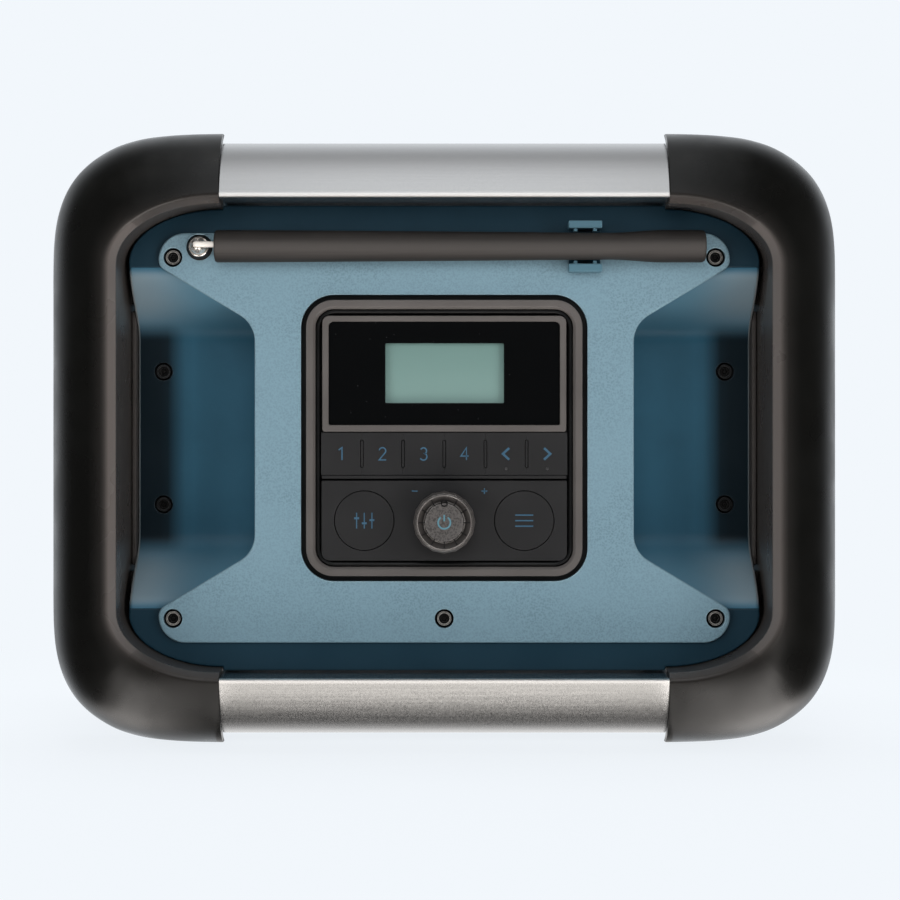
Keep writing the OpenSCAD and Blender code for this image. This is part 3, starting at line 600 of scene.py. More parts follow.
def board_finish():
    """Green solder mask with copper tracks that show as lighter lines."""
    material, wire, shader = new_finish("board_green")
    place = wire.place()
    tracks = wire.add("TexBrick", {
        "Vector": place, "Scale": 90.0, "Mortar Size": 0.03,
        "Color1": tone(22, 74, 46), "Color2": tone(26, 84, 52), "Mortar": tone(52, 128, 82)})
    wire.feed(shader["Base Color"], tracks.outputs["Color"])
    wire.feed(shader["Roughness"], wire.between(wire.noise(place, 200.0), 0.2, 0.8, 0.3, 0.5))
    return material


# Moulded plastic and rubber: colour, roughness, grain and bump in mm, how much the edges are
# rubbed and carry a painted highlight, their tone and width in mm, dust, change of tone,
# specular, fleck, lines and shares.
MOULDED = {
    "housing_blue": ((44, 76, 92), 0.42, 0.45, 0.012, 0.5, (120, 150, 164), 0.5, 0.08, 0.06,
                     0.5),
    # Housing blue made lighter for the side recesses: painted light against their shade. Its
    # shares paint light and a sheen on the swept faces and shade on the floor.
    "housing_blue_painted_light": ((54, 103, 127), 0.4, 0.45, 0.012, 0.2, (140, 158, 168), 0.6, 0.05, 0.06,
                    0.2, 0, 0, [("bloom", (112, 158, 180)), ("haze", (148, 154, 156)),
                                ("grime", (12, 17, 20))]),
    # A darker copy of housing blue: painted shade on the front's bands under the rails and
    # behind the antenna clip.
    "housing_blue_painted_shade": ((25, 52, 66), 0.42, 0.8, 0.02, 0.15, (90, 120, 134), 0.4, 0.03, 0.06, 0.3),
    # plate_blue: its pale edge tone is a painted highlight along the plate's edges.
    "plate_blue": ((110, 138, 151), 0.5, 0.62, 0.06, 0.9, (186, 212, 223), 0.7, 0.03, 0.08,
                   0.3, 0.2),
    # bumper_rubber: its lip tone is painted light on the walls and a painted highlight on the
    # chamfer.
    "bumper_rubber": ((14, 14, 13), 0.31, 0.3, 0.005, 0.15, (60, 57, 54), 0.5, 0.03, 0.1,
                      0.33, 0, 0, [("lip", (104, 98, 95))]),
    "seal_rubber": ((20, 20, 20), 0.7, 0.4, 0.02, 0, None, 0.5, 0.1, 0.06, 0.5),
    "panel_black": ((12, 13, 14), 0.42, 0.3, 0.006, 0.35, (70, 70, 70), 0.3, 0.03, 0.06, 0.5),
    "bezel_grey": ((90, 86, 84), 0.46, 0.3, 0.008, 0.5, (150, 146, 143), 0.3, 0.04, 0.06,
                   0.5),
    "key_rubber": ((38, 38, 39), 0.6, 0.3, 0.012, 0.4, (70, 70, 71), 0.25, 0.05, 0.08, 0.35),
    # knob_plastic: its shade share is painted shade in the grooves and the cone, and its pale
    # edge tone a painted highlight.
    "knob_plastic": ((84, 80, 78), 0.3, 0.6, 0.01, 1, (205, 200, 196), 0.35, 0.02, 0.1, 0.5,
                     0, 0, [("shade", (17, 16, 16))]),
    # knob_face: its pale edge tone is a painted highlight round the rim.
    "knob_face": ((56, 54, 53), 0.45, 0.58, 0.06, 0.9, (186, 183, 180), 0.3, 0.03, 0.2, 0.5,
                  1.5),
    "latch_plastic": ((58, 58, 59), 0.5, 0.5, 0.02, 0.5, (110, 110, 110), 0.5, 0.1, 0.06, 0.5),
    # whip_rubber: its sheen share is a painted highlight and its shade share is painted shade.
    "whip_rubber": ((56, 53, 51), 0.6, 0.4, 0.014, 0.1, (70, 67, 65), 0.5, 0.04, 0.08, 0.3, 0,
                    0.4, [("sheen", (74, 71, 69)), ("shade", (17, 17, 18))]),
    "clip_blue": ((78, 113, 128), 0.5, 0.5, 0.02, 0.6, (140, 178, 194), 0.35, 0.02, 0.06, 0.3),
    # screw_steel: its pale edge tone is a painted highlight on the heads' edges.
    "screw_steel": ((9, 9, 9), 0.4, 0.4, 0.006, 0.3, (120, 118, 115), 0.17, 0, 0.06, 0.5),
    # screw_rim_highlight and screw_dull: rings on the screw heads' rims, a bright and a dim
    # painted highlight.
    "screw_rim_highlight": ((150, 147, 142), 0.3, 0.9, 0.006, 0, None, 0.5, 0, 0.5, 0.5),
    "screw_dull": ((40, 41, 42), 0.4, 0.9, 0.006, 0, None, 0.5, 0, 0.4, 0.5),
    "bore_black": ((9, 9, 10), 0.6, 0.4, 0.02, 0, None, 0.5, 0, 0.06, 0.5),
    "grille_grey": ((62, 58, 56), 0.5, 0.4, 0.02, 0.4, (120, 116, 112), 0.5, 0.1, 0.06, 0.5),
    "cone_paper": ((24, 24, 24), 0.8, 1.2, 0.06, 0.1, None, 0.5, 0.2, 0.2, 0.5),
    "dial_ink": ((84, 126, 140), 0.5, 0.3, 0.004, 0, None, 0.5, 0.03, 0.1, 0.5),
    "label_ink": ((58, 94, 118), 0.5, 0.2, 0.004, 0, None, 0.5, 0.03, 0.1, 0.5)}
METALS = {  # colour, roughness, how scratched and how metallic
    # chrome is three quarters metallic, so lamps light part of its pale colour as a painted
    # reflection; satin_metal_painted_reflection is almost all painted reflection.
    "chrome": ((240, 236, 230), 0.2, 0.3, 0.75),
    "satin_metal_painted_reflection": ((254, 248, 240), 0.42, 0.02, 0.1),
    "component_metal": ((150, 150, 152), 0.35, 0.3, 1.0)}
FINISHES = {"rail_aluminium": blasted_aluminium(), "lens_black": gloss_lens(),
            "lcd_green": display_film(), "board_green": board_finish()}
for table, make in ((MOULDED, moulded), (METALS, bright_metal)):
    FINISHES.update({name: make(name, *row) for name, row in table.items()})


# ---- Ring frames: rubber bumpers and metal rails ----------------------------------------

def oval_quarter(half_x, half_z, a, b):
    """Upper right quarter of a ring's inner line, from the joint round to mid height."""
    cx, cz = half_x - a, half_z - b
    return ([(JOINT_X - 3, half_z)] + arc(cx, cz, a, 90, 0, 60, b)
            + [(half_x, cz * (1 - i / 20)) for i in range(1, 21)] + [(half_x, -5)])


INNER_LINES = (oval_quarter(125.5, 90.1, 41.4, 26.2),       # crest
               oval_quarter(121.9, 87.2, 37.8, 22.6),       # wall
               oval_quarter(119.8, 86.4, 35.8, 21.3))       # housing
OUTER_KNOTS = [(84, 116.8), (92, 116.7), (99.5, 116.45), (106, 116.0), (113, 115.2),
               (119, 113.9), (125, 111.9), (130.6, 109.0), (136, 105.2), (140.8, 100.4),
               (144.6, 94.6), (147.3, 88.0), (149.0, 80.6), (149.8, 72.0), (150, 62.0),
               (150, 52), (150, 40), (150, 26), (150, 13), (150, 0), (150, -13)]
FLANGE_END = 52         # height below which a bumper's back has no flange
FLANGE_Y = 46.0         # depth of the flange's inner face behind the crest


def reach_to(line, start, way):
    """How far from start, along way, the line is crossed."""
    best = 1e9
    for (ax, az), (bx, bz) in zip(line, line[1:]):
        dx, dz = bx - ax, bz - az
        cross = way.x * dz - way.y * dx
        if abs(cross) < 1e-9:
            continue
        along = ((ax - start.x) * dz - (az - start.y) * dx) / cross
        share = ((ax - start.x) * way.y - (az - start.y) * way.x) / cross
        if -0.001 <= share <= 1.001 and 0 < along < best:
            best = along
    return best


def crown(width, stop, steps=16):
    """Arc from just outside the crest to the widest line, as (inset, depth)."""
    radius = (width ** 2 + WIDEST ** 2) / (2 * width)
    top = math.asin(WIDEST / radius) * stop
    angles = [top * (1 - i / steps) for i in range(steps + 1)]
    return [(radius - radius * math.cos(a), WIDEST - radius * math.sin(a)) for a in angles]


def bumper_section(width, wall, flange, with_flange):
    """One section of a bumper, from the wall over the crest and round to the flange."""
    end = flange if with_flange else wall
    return [(wall, FLANGE_Y if with_flange else RING_BACK - 0.02), (wall, 30.0), (wall, 12.0),
            (wall, 5.2), (wall - 0.06, 4.75), (wall - 0.3, 4.25), (width + 1.2, 1.15),
            (width + 0.55, 0.45), (width - 0.1, 0.12), (width - 0.9, 0.35),
            *crown(width, 0.955), (0, 44), (0, 52), (0.3, 53.5), (1.2, 54.8), (2.5, 55.7),
            (4, RING_BACK), (14, RING_BACK), (end, RING_BACK),
            (end, FLANGE_Y if with_flange else RING_BACK - 0.01)]


def upper_sections():
    """(point, inward, section) along the upper half of a right-hand bumper."""
    line = [p for p in smoothed(OUTER_KNOTS) if p.y > -0.01]
    stations = []
    for before, point, after in zip(line[:1] + line, line, line[1:] + line[-1:]):
        way = (after - before).normalized()
        inward = Vector((way.y, -way.x))
        if point is line[0]:
            inward = Vector((0, -1))
        if point is line[-1]:
            inward = Vector((-1, 0))
        stations.append((point, inward, [reach_to(ring, point, inward)
                                         for ring in INNER_LINES]))
    flanged = sum((point + inward * spans[1]).y > FLANGE_END
                  for point, inward, spans in stations)
    # The last section with the flange stands in one place with the first without it.
    return [(point, inward, bumper_section(*spans, with_flange))
            for k, (point, inward, spans) in enumerate(stations)
            for with_flange in ((True, False) if k == flanged - 1 else (k < flanged,))]


# Shares of the lip tone along a section: painted light on the wall, then a painted highlight on
# the chamfer that fades over the crest.
LIP_SHARES = [0.2, 0.36, 0.42, 0.42, 0.44, 1, 0.95, 0.5, 0.25, 0.13, 0.06, 0.02]
WALL_POINTS = 5         # of a section, ahead of its lip


def lip_shares(section, inward):
    """The lip's painted highlight is paler down the sides than along the top and bottom, as the
    light falls there.
    """
    paler = 0.42 + 0.58 * inward.x ** 2
    shares = LIP_SHARES[:WALL_POINTS] + [paler * s for s in LIP_SHARES[WALL_POINTS:]]
    return shares + [0.0] * (len(section) - len(shares))


def joint_at(depth):
    """Where rail and bumper meet: the joint leans outwards with depth."""
    return JOINT_X - 0.6 + 0.036 * depth + 0.09 * max(0, depth - WIDEST)


def bumper(name, side, facing):
    """side is +1 at the right, facing is -1 at the front."""
    upper = upper_sections()
    whole = upper + [(Vector((p.x, -p.y)), Vector((n.x, -n.y)), s)
                     for p, n, s in reversed(upper)]
    mould = Mould()

    def ring(point, inward, section, outwards):
        return mould.ring([(side * outwards(h, d), -facing * (CREST_Y + d),
                            point.y + inward.y * h) for h, d in section],
                          lip=lip_shares(section, inward))

    body = [ring(p, n, s, lambda h, d: p.x + n.x * h)
            for p, n, s in whole if p.x > JOINT_X + 5]
    first, last = [[ring(p, n, shrunk(s[::-1], by)[::-1], lambda h, d: joint_at(d) + back)
                    for by, back in ((0.3, 0.0), (0.1, 0.1), (0.0, 0.3))]
                   for p, n, s in (whole[0], whole[-1])]
    mould.tube(first + body + last[::-1]).cast(name, "bumper_rubber", crease=50)


def rail(name, upward, facing):
    """Extruded rail; upward is +1 at the top."""
    height, top = 24.1, 113.1
    section = [(height - drop, d) for drop, d in (
        (0.6, 44.0), (0, 43.4), (0, 2.6), (0, 1.5), (0.25, 0.75), (0.75, 0.28), (1.4, 0.55),
        (1.85, 0.78))]
    section += crown(height, 0.945, 20) + arc(8, WIDEST, 8, 165, 90, 5)
    # The crest share paints a highlight along the crest, weaker on the lower rails.
    wear_and_highlight = [0, 0, 0, 0, 0.35, 0.9, 1, 0.35, 0.05]
    crest = [c if upward > 0 else 0.72 * c for c in wear_and_highlight] + [0] * (len(section) - len(wear_and_highlight))
    sparkle = [0.1 if upward > 0 else
               0.25 + 0.9 * eased_step(h, 1, 9) * eased_step(26 - h, 0, 14) for h, d in section]
    mould = Mould()
    mould.tube([mould.ring([(share * (joint_at(d) - 0.12), -facing * (CREST_Y + d),
                             upward * (top - h)) for h, d in section],
                           sparkle=[s * (1 - 0.3 * abs(share)) for s in sparkle], crest=crest)
                for share in (-1, -0.7, -0.3, 0.3, 0.7, 1)])
    mould.cast(name, "rail_aluminium", crease=50)


def ring_frames():
    for end, facing in (("front", -1), ("rear", 1)):
        for word, side in SIDES:
            bumper(f"bumper_{end}_{word}", side, facing)
        for word, upward in (("top", 1), ("bottom", -1)):
            rail(f"rail_{end}_{word}", upward, facing)


# ---- Housing and face plate -------------------------------------------------------------

EAR_X, EAR_Z, EAR_R, TOE_R, WAIST_X, WAIST_R = 98.3, 67.6, 10.1, 4.5, 71.9, 11.4
FACE_SCREWS = both_ways(102.9, 68.5) + [(0, -68.5)]
RECESS_SCREWS = both_ways(109.9, 26)
BORE_R, SOCKET_R = 3.6, 4.95
FACE_BORES = [disc(x, z, BORE_R, 40) for x, z in FACE_SCREWS] + [
    disc(HINGE[0], HINGE[2], SOCKET_R, 40)]
MOUTH_Z = 64.6          # where a side recess opens
MOUTH_EDGE = 64.9       # where the painted light and sheen on its faces end
LIP_X = 119.2           # where the rounded outer edge of a side panel begins
COVER_BACK = -40.3      # back of the front cover
HOUSING_R, HOUSING_RZ = 35.8, 21.3


def plate_quarter():
    """The face plate's edge from the top over the ear down to the waist."""
    tilt = math.radians(59)
    toe_x = EAR_X + EAR_R - TOE_R
    x0 = toe_x + TOE_R * math.cos(tilt)
    z0 = EAR_Z - TOE_R * math.sin(tilt)
    x1 = WAIST_X + WAIST_R * (1 - math.cos(tilt))
    z1 = z0 - (x0 - x1) / math.tan(tilt)
    return (arc(EAR_X, EAR_Z, EAR_R, 90, 0, 12) + arc(toe_x, EAR_Z, TOE_R, -1, -59, 8)
            + arc(WAIST_X + WAIST_R, z1 - WAIST_R * math.sin(tilt), WAIST_R, 121, 180, 14))


PLATE_QUARTER = plate_quarter()
PLATE_EDGE = [(z, x) for x, z in PLATE_QUARTER]
RECESS_CURVE = [tuple(p) for p in smoothed([    # height and depth behind the crest
    (66.0, 23.9), (64.6, 24.2), (62.4, 24.9), (60.1, 26.6), (56.6, 30.4), (53.1, 35.0),
    (49.5, 40.4), (45.9, 45.7), (42.3, 49.7), (38.9, 51.2), (35.0, 51.4), (30.0, 51.4)])]


def face_plate():
    Mould().slab(four_ways(PLATE_QUARTER), FRONT_Y - 0.05, PLATE_Y, 0.7,
                 [square(54.3, 12.5)] + FACE_BORES, hole_edge=0.2
                 ).cast("face_plate", "plate_blue")


def cover_outline(grow):
    """The housing's front outline. grow is 1 where it fills the ring frame's mouth."""
    fade = [grow * (1 - (i / 24) ** 3) for i in range(25)]
    corner = [(x + 1.7 * f * (x - 84) / HOUSING_R, z + 0.6 * f * (z - 65.1) / HOUSING_RZ)
              for (x, z), f in zip(arc(84, 65.1, HOUSING_R, 90, 0, 24, HOUSING_RZ), fade)]
    toe = [p for p in PLATE_QUARTER if p[1] < MOUTH_Z]
    return four_ways([(70, 86.4 + 2 * grow), (83.9, 86.4 + 2 * grow),
                      (84.2, 86.4 + 0.5 * grow)] + corner[1:]
                     + [(119.79, MOUTH_Z), (107.2, MOUTH_Z)] + toe)


def front_cover():
    """The housing's front between its upper and lower ends, open at the side recesses. Its
    darker blue is painted shade under the rails.
    """
    mould = Mould()
    outside = [mould.flat(cover_outline(grow), y)
               for grow, y in ((0, COVER_BACK), (0, -49.5), (1, -49.6))]
    outside += [mould.flat(shrunk(cover_outline(1), by), y)
                for by, y in rounded_levels(FRONT_Y, 0.8, 5)]
    bores = [[mould.flat(without_twins(bore)[::-1], y) for y in (COVER_BACK, FRONT_Y)]
             for bore in FACE_BORES + [square(54.25, 12.45)]]
    mould.tube(outside, *bores).cast("front_housing", "housing_blue_painted_shade", "housing_blue", crease=38)


def in_mouth(z):
    """1 inside a recess, falling to 0 at its upper and lower ends."""
    return eased_step(MOUTH_EDGE - abs(z), 0.0, 4.0)


def on_slope(z):
    return eased_step(abs(z), 38, 53) * in_mouth(z)


def slope_bloom(x, y, z):
    """Painted light on the swept faces, a little all over."""
    return 0.5 * on_slope(z)


def slope_haze(x, y, z):
    """Painted sheen on the swept faces, most near the bumper, and a painted highlight along the
    panel's rounded outer edge.
    """
    if abs(x) > LIP_X:
        return 0.95 * in_mouth(z)
    return on_slope(z) * (0.05 + 0.5 * eased_step(abs(x), 90, 118))


def floor_grime(x, y, z):
    """Painted shade along the outer part of the flat floor, next to the bumper."""
    if abs(x) > LIP_X:
        return 0.0
    return (1 - eased_step(abs(z), 38, 47)) * 0.95 * eased_step(abs(x), 99, 109.5)


def side_panel(name, side):
    """Recessed side of the front: a flat floor between two swept faces."""
    heights = [66.2, 65.6] + [MOUTH_Z - 0.9 * i for i in range(34)] + [33, 28, 20, 10, 0]
    heights += [-h for h in heights[-2::-1]]
    outer, back = 118.4, 55.6
    mould = Mould()
    rings = []
    for z in heights:
        inner = value_at(z, PLATE_EDGE) - 0.8
        depth = value_at(z, RECESS_CURVE) if abs(z) <= MOUTH_Z else 24.8
        line = [(inner + (outer - inner) * i / 14, depth) for i in range(15)]
        line += arc(outer, depth + 1.4, 1.4, -90, 0, 5) + [(119.8, back), (inner, back)]
        rings.append(mould.ring([(side * x, CREST_Y + d, z) for x, d in line]))
    # The lighter blue of the side panel is painted light, against the recess's shade.
    piece = mould.tube(rings).cast(name, "housing_blue_painted_light", "housing_blue", crease=34)
    Mould().slab(oblong(119.95, -49.5, 121.7, 49.5, 0.8), -37.1, -48.5, 0.5, steps=3).move(
        lambda x, y, z: (side * x, y, z)).cast(name.replace("panel", "trim"), "grille_grey")
    wells = Mould()
    for x, z in RECESS_SCREWS:
        if x * side > 0:
            wells.turned("y", x, z, [(0, -46), (BORE_R, -46), (BORE_R, -41.6), (0, -41.6)],
                         40)
    # Paints light and a sheen on the swept faces and shade on the outer floor.
    painted(carved(piece, wells, 34), bloom=slope_bloom, haze=slope_haze, grime=floor_grime)


def clip():
    """Snap clip that holds the stowed antenna."""
    x0, x1, z = 46.8, 59.4, HINGE[2]
    # The base is in the darker blue: painted shade behind the whip and the jaws.
    Mould().box((x0 + 0.3, -74.0, z - 8.6), (x1 - 0.3, PLATE_Y + 0.4, z + 9.2), 0.3
                ).cast("antenna_clip_base", "housing_blue_painted_shade", "plate_blue")
    mould = Mould()
    for low, high, inner, way in ((z - 9.8, z - 6.7, z - 6.7, 1),
                                  (z + 6.6, z + 9.5, z + 6.6, -1)):
        mould.box((x0, -80.6, low), (x1, -73.6, high), 0.45)
        start, end = sorted((inner - way * 0.4, inner + way * 1.1))
        for x in (x0 + 2.0, x1 - 3.3):
            mould.box((x, -79.6, start), (x + 1.3, -74.5, end), 0.2)
    mould.cast("antenna_clip", "clip_blue", "plate_blue")


# ---- Screws -----------------------------------------------------------------------------

def screw_heads(name, places, seat, facing, wear_and_highlight):
    """Pan heads with a pinned star recess, thin rims that carry a painted highlight, and a
    black disc behind each head as painted shade in its bore. facing is -1 at the front.
    """
    heads, wells, rims = Mould(), Mould(), Mould()
    for x, z in places:
        heads.slab(disc(x, z, 2.75, 40), 0.0, -2.0, 0.3, [disc(x, z, 2.0, 32)], steps=2,
                   hole_edge=0.2)
        heads.slab(disc(x, z, 2.05, 32), 0.0, -1.6, 0.1, [star(x, z, 1.4)], steps=1)
        heads.slab(disc(x, z, 1.5, 20), 0.0, -0.7, 0.05, steps=1)
        heads.slab(disc(x, z, 0.45, 16), -0.6, -1.5, 0.12, steps=2)
        # A black disc behind each head: painted shade at the bottom of its bore.
        wells.slab(disc(x, z, 3.58, 32), 0.4, 0.02, 0.02, steps=1)
        # Thin rings on each head's rim: a painted highlight, bright or dim by the finish given.
        for inner, outer in ((2.05, 2.28), (2.5, 2.68)):
            rims.turned("y", x, z, [(inner, -1.8), (inner, -2.01), (inner + 0.05, -2.05),
                                    (outer - 0.05, -2.05), (outer, -2.01), (outer, -1.8),
                                    (inner, -1.8)], 40)
    for mould, ending, finish in ((heads, "", "screw_steel"), (wells, "_well_shade", "bore_black"),
                                  (rims, "_rims", wear_and_highlight)):
        mould.move(lambda x, y, z: (x, seat - facing * y, z))
        mould.cast(name + ending, finish, "screw_steel")


# ---- Control panel ----------------------------------------------------------------------

KEY_PITCH = 15.6
BUTTONS = (("tone_button", -30.3), ("menu_button", 30.3))
BUTTON_Z = -31.3


def key_x(place):
    """Middle of a place in the strip of keys, whose six keys are 0 to 5."""
    return (place - 2.5) * KEY_PITCH


def panel():
    """The control panel's tray and bezel, and the display's frame, lens and LCD."""
    tray = Mould().slab(square(54.2, 12.4), -66.6, -71.4, 0.25, [square(47.2, 5.6)])
    tray.slab(square(48.6, 7.0), -70.7, -73.5, 0.7, [square(47.1, 5.5)], steps=3)
    tray.slab(square(48.0, 6.0), -66.0, -67.4, 0.1, steps=1)
    tray.cast("panel_tray", "panel_black")

    bezel = Mould()
    outer = without_twins(square(52.3, 10.4))
    levels = [(0, -70.7), (0, -74.35), (0.12, -74.65), (0.45, -74.8), (2.35, -74.8),
              (2.6, -74.72), (3.4, -73.9), (3.5, -73.6), (3.5, -70.7)]
    rings = [bezel.flat(shrunk(outer, by), y) for by, y in levels]
    bezel.skins(rings + [rings[0]])
    bezel.cast("panel_bezel", "bezel_grey")

    Mould().slab(oblong(-46.2, 2.4, 46.2, 46.3, 1.0, 2.6), -66.5, -74.2, 0.3,
                 [oblong(-43.8, 4.9, 43.8, 44.1, 0.6, 1.9)]
                 ).cast("display_frame", "bezel_grey", "panel_black")
    Mould().slab(oblong(-43.75, 4.95, 43.75, 44.05, 0.6, 1.9), -71.9, -73.4, 0.12,
                 [oblong(-22.3, 13.25, 22.6, 35.9, 0.4)], steps=2
                 ).cast("display_lens", "lens_black")
    Mould().slab(oblong(-25, 11.6, 25, 37.6, 0.5), -69.0, -71.3, 0.1, steps=1
                 ).cast("lcd_module", "lcd_green")


def keys():
    """Six keys in a strip. Short webs of the pad stand in the waists between them."""
    low, top, web_low, web_top = -14.1 + 0.15, 2.2 - 0.15, -11.4, -0.6
    for i in range(6):
        middle = key_x(i)
        half, waist = KEY_PITCH / 2 - 0.01, KEY_PITCH / 2 - 0.66
        left, right = [half if inner else KEY_PITCH / 2 - 0.2 for inner in (i > 0, i < 5)]
        outline = [(middle - left, low), (middle + right, low)]
        if i < 5:
            outline += [(middle + right, web_low), (middle + waist, web_low + 0.35),
                        (middle + waist, web_top - 0.35), (middle + right, web_top)]
        outline += [(middle + right, top), (middle - left, top)]
        if i:
            outline += [(middle - left, web_top), (middle - waist, web_top - 0.35),
                        (middle - waist, web_low + 0.35), (middle - left, web_low)]
        name = f"key_{i + 1}"
        Mould().slab(outline, -69.2, -73.6, 0.06, steps=1).cast(name, "key_rubber", body=name)


def pad():
    """Soft pad under the keys, with a groove along its top and round its two buttons."""
    holes = [disc(x, BUTTON_Z, 11.45, 72) for name, x in BUTTONS]
    mould = Mould().slab(oblong(-46.5, -46.5, 46.5, -16.15, 3.2, 0.5), -66.5, -73.4, 0.22,
                         holes + [disc(0, KNOB_Z, 4.2, 40)], steps=3, hole_edge=0.12)
    mould.slab(oblong(-46.3, -15.4, 46.3, -14.2, 0.2), -66.5, -73.45, 0.15, steps=2)
    for i in range(5):
        x = (i - 2) * KEY_PITCH
        mould.slab(oblong(x - 0.42, -11.0, x + 0.42, -1.0, 0.3), -68.0, -73.5, 0.12, steps=2)
    mould.cast("control_pad", "key_rubber")
    for name, x in BUTTONS:
        Mould().slab(disc(x, BUTTON_Z, 11.15, 72), -69.0, -73.5, 0.15, steps=2
                     ).cast(name, "key_rubber", body=name)


FACETS, PER_FACET = 16, 6
KNOB_PROFILE = [        # radius, y, and how much painted shade darkens the groove or cone there
    (3.2, -74.8, 0), (11.3, -74.8, 0), (11.6, -75.3, 0), (11.6, -84.0, 0),
    (11.5, -84.35, 0), (11.35, -84.7, 0.3), (10.95, -85.55, 0.3), (10.85, -85.75, 0),
    (10.75, -85.8, 0.9), (10.62, -85.55, 1), (10.5, -85.8, 0.9), (10.42, -86.25, 0),
    (10.2, -86.45, 0), (9.95, -86.45, 0), (9.8, -86.2, 0.3), (9.6, -85.9, 0.5),
    (7.95, -84.5, 0.65), (7.8, -84.35, 1), (7.7, -85.2, 0), (7.5, -85.4, 0),
    (7.3, -85.0, 0)]


def knob():
    """Volume knob: faceted bevel, sunk cone with twelve ticks, and a grained face."""
    mould = Mould()
    rings = []
    for r, y, shade in KNOB_PROFILE:
        points = []
        for i in range(FACETS * PER_FACET):
            a = 2 * math.pi * i / (FACETS * PER_FACET)
            reach = r
            if r > 10.8:
                local = (i % PER_FACET - PER_FACET // 2) / PER_FACET * 2 * math.pi / FACETS
                reach = r * math.cos(math.pi / FACETS) / math.cos(local)
            points.append((reach * math.cos(a), y, KNOB_Z + reach * math.sin(a)))
        rings.append(mould.ring(points, shade=[shade] * len(points)))
    mould.skins(rings)
    mould.cast("volume_knob", "knob_plastic", body="knob", crease=10)
    Mould().turned("y", 0, KNOB_Z, [(0, -84.3), (7.25, -84.3), (7.25, -86.1), (7.1, -86.35),
                                    (6.8, -86.45), (6.2, -86.3), (0, -86.25)], 72
                   ).cast("knob_cap", "knob_face", "knob_plastic", "knob")

    ticks = Mould()
    for i in range(1, 12):
        a = math.radians(90 + 30 * i)
        side = Vector((-math.sin(a), math.cos(a))) * 0.22
        quad = [(r * math.cos(a) + s * side.x, y, KNOB_Z + r * math.sin(a) + s * side.y)
                for r, y, s in ((7.2, -86.42, -1), (7.2, -86.42, 1), (9.6, -85.98, 1),
                                (9.6, -85.98, -1))]
        ticks.tube([ticks.ring([(x, y - up, z) for x, y, z in quad]) for up in (0, 0.06)])
    ticks.turned("y", 0, KNOB_Z + 7.15, [(0.8, -84.5), (1.32, -84.5), (1.32, -86.45),
                                         (1.06, -86.6), (0.8, -86.45), (0.8, -84.5)], 32)
    ticks.cast("knob_ticks", "bore_black", "knob_plastic", "knob", 30)


# ---- Marks: ribbons of ink that stand a hair above the keys ------------------------------

SIGNS = [               # the keys' marks: 1, 2, 3, 4, back and on
    [(-0.9, 1.3), (0.25, 2.1), (0.25, -2.1)],
    arc(0, 1.0, 1.1, 170, -28, 12) + [(-1.15, -2.05), (1.25, -2.05)],
    arc(-0.05, 1.02, 1.03, 155, -70, 12) + arc(-0.05, -0.98, 1.15, 80, -155, 14),
    [(0.55, -2.1), (0.55, 2.1), (-1.35, -0.75), (1.3, -0.75)],
    [(0.95, 1.75), (-0.95, 0.0), (0.95, -1.75)],
    [(-0.95, 1.75), (0.95, 0.0), (-0.95, -1.75)]]
KEY_MARK_Z = -6.0


def ribbon(mould, line, width, y):
    """A flat ribbon along a line of (x, z), with mitred corners."""
    left, right = [], []
    for before, (x, z), after in zip(line[:1] + line, line, line[1:] + line[-1:]):
        one = Vector((x - before[0], z - before[1]))
        two = Vector((after[0] - x, after[1] - z))
        one = one if one.length > TINY else two
        two = two if two.length > TINY else one
        way = (one.normalized() + two.normalized()).normalized()
        stretch = 1 / max(0.5, way.dot(one.normalized()))
        side = Vector((-way.y, way.x)) * width / 2 * stretch
        left.append((x + side.x, z + side.y))
        right.append((x - side.x, z - side.y))
    (a, b), (c, d) = [[mould.flat(edge, depth) for edge in (left, right)]
                      for depth in (y - 0.05, y + 0.02)]
    for pair in ((a, b), (c, d), (a, c), (b, d)):
        mould.skins(pair, closed=False)
    for end in (0, -1):
        mould.faces.append((a[end], b[end], d[end], c[end]))


def inked(name, ribbons, body="radio", finish="label_ink", slot="key_rubber"):
    """A mark made of ribbons, each given as (line, width, y)."""
    mould = Mould()
    for line, width, y in ribbons:
        ribbon(mould, line, width, y)
    mould.cast(name, finish, slot, body, 30)


def marks():
    for i, line in enumerate(SIGNS):
        size, width = (1.12, 0.5) if i < 4 else (1.25, 0.85)
        inked(f"key_mark_{i + 1}", [([(key_x(i) + size * x, KEY_MARK_Z + size * z)
                                      for x, z in line], width, -73.6)], f"key_{i + 1}")
    sliders = []
    for x, notch in ((-33.2, 0.9), (-30.3, -1.0), (-27.4, 0.2)):
        sliders += [([(x, -28.3), (x, -34.3)], 0.42, -73.55),
                    ([(x - 0.95, BUTTON_Z + notch), (x + 0.95, BUTTON_Z + notch)], 0.75,
                     -73.57)]
    inked("tone_mark", sliders, "tone_button")
    inked("menu_mark", [([(26.9, z), (33.7, z)], 0.5, -73.55) for z in (-29.2, -31.3, -33.4)],
          "menu_button")
    for key, x in (("key_5", 23.4), ("key_6", 39.0)):
        Mould().turned("y", x, -11.6, [(0, -73.4), (0.6, -73.4), (0.6, -73.6), (0.5, -73.75),
                                       (0.25, -73.85), (0, -73.88)], 16
                       ).cast(key + "_touch_point", "latch_plastic", "key_rubber", key)
    inked("pad_marks", [(line, 0.4, -73.4) for line in (
        [(-12.3, -20.1), (-10.1, -20.1)], [(14.1, -20.1), (16.3, -20.1)],
        [(15.2, -19.0), (15.2, -21.2)])])
    inked("power_mark", [(line, 0.62, -86.25) for line in (
        arc(0, KNOB_Z, 2.3, 125, 415, 28), [(0, KNOB_Z + 0.5), (0, KNOB_Z + 2.9)])],
        "knob", "dial_ink", "knob_plastic")


# ---- Antenna ----------------------------------------------------------------------------

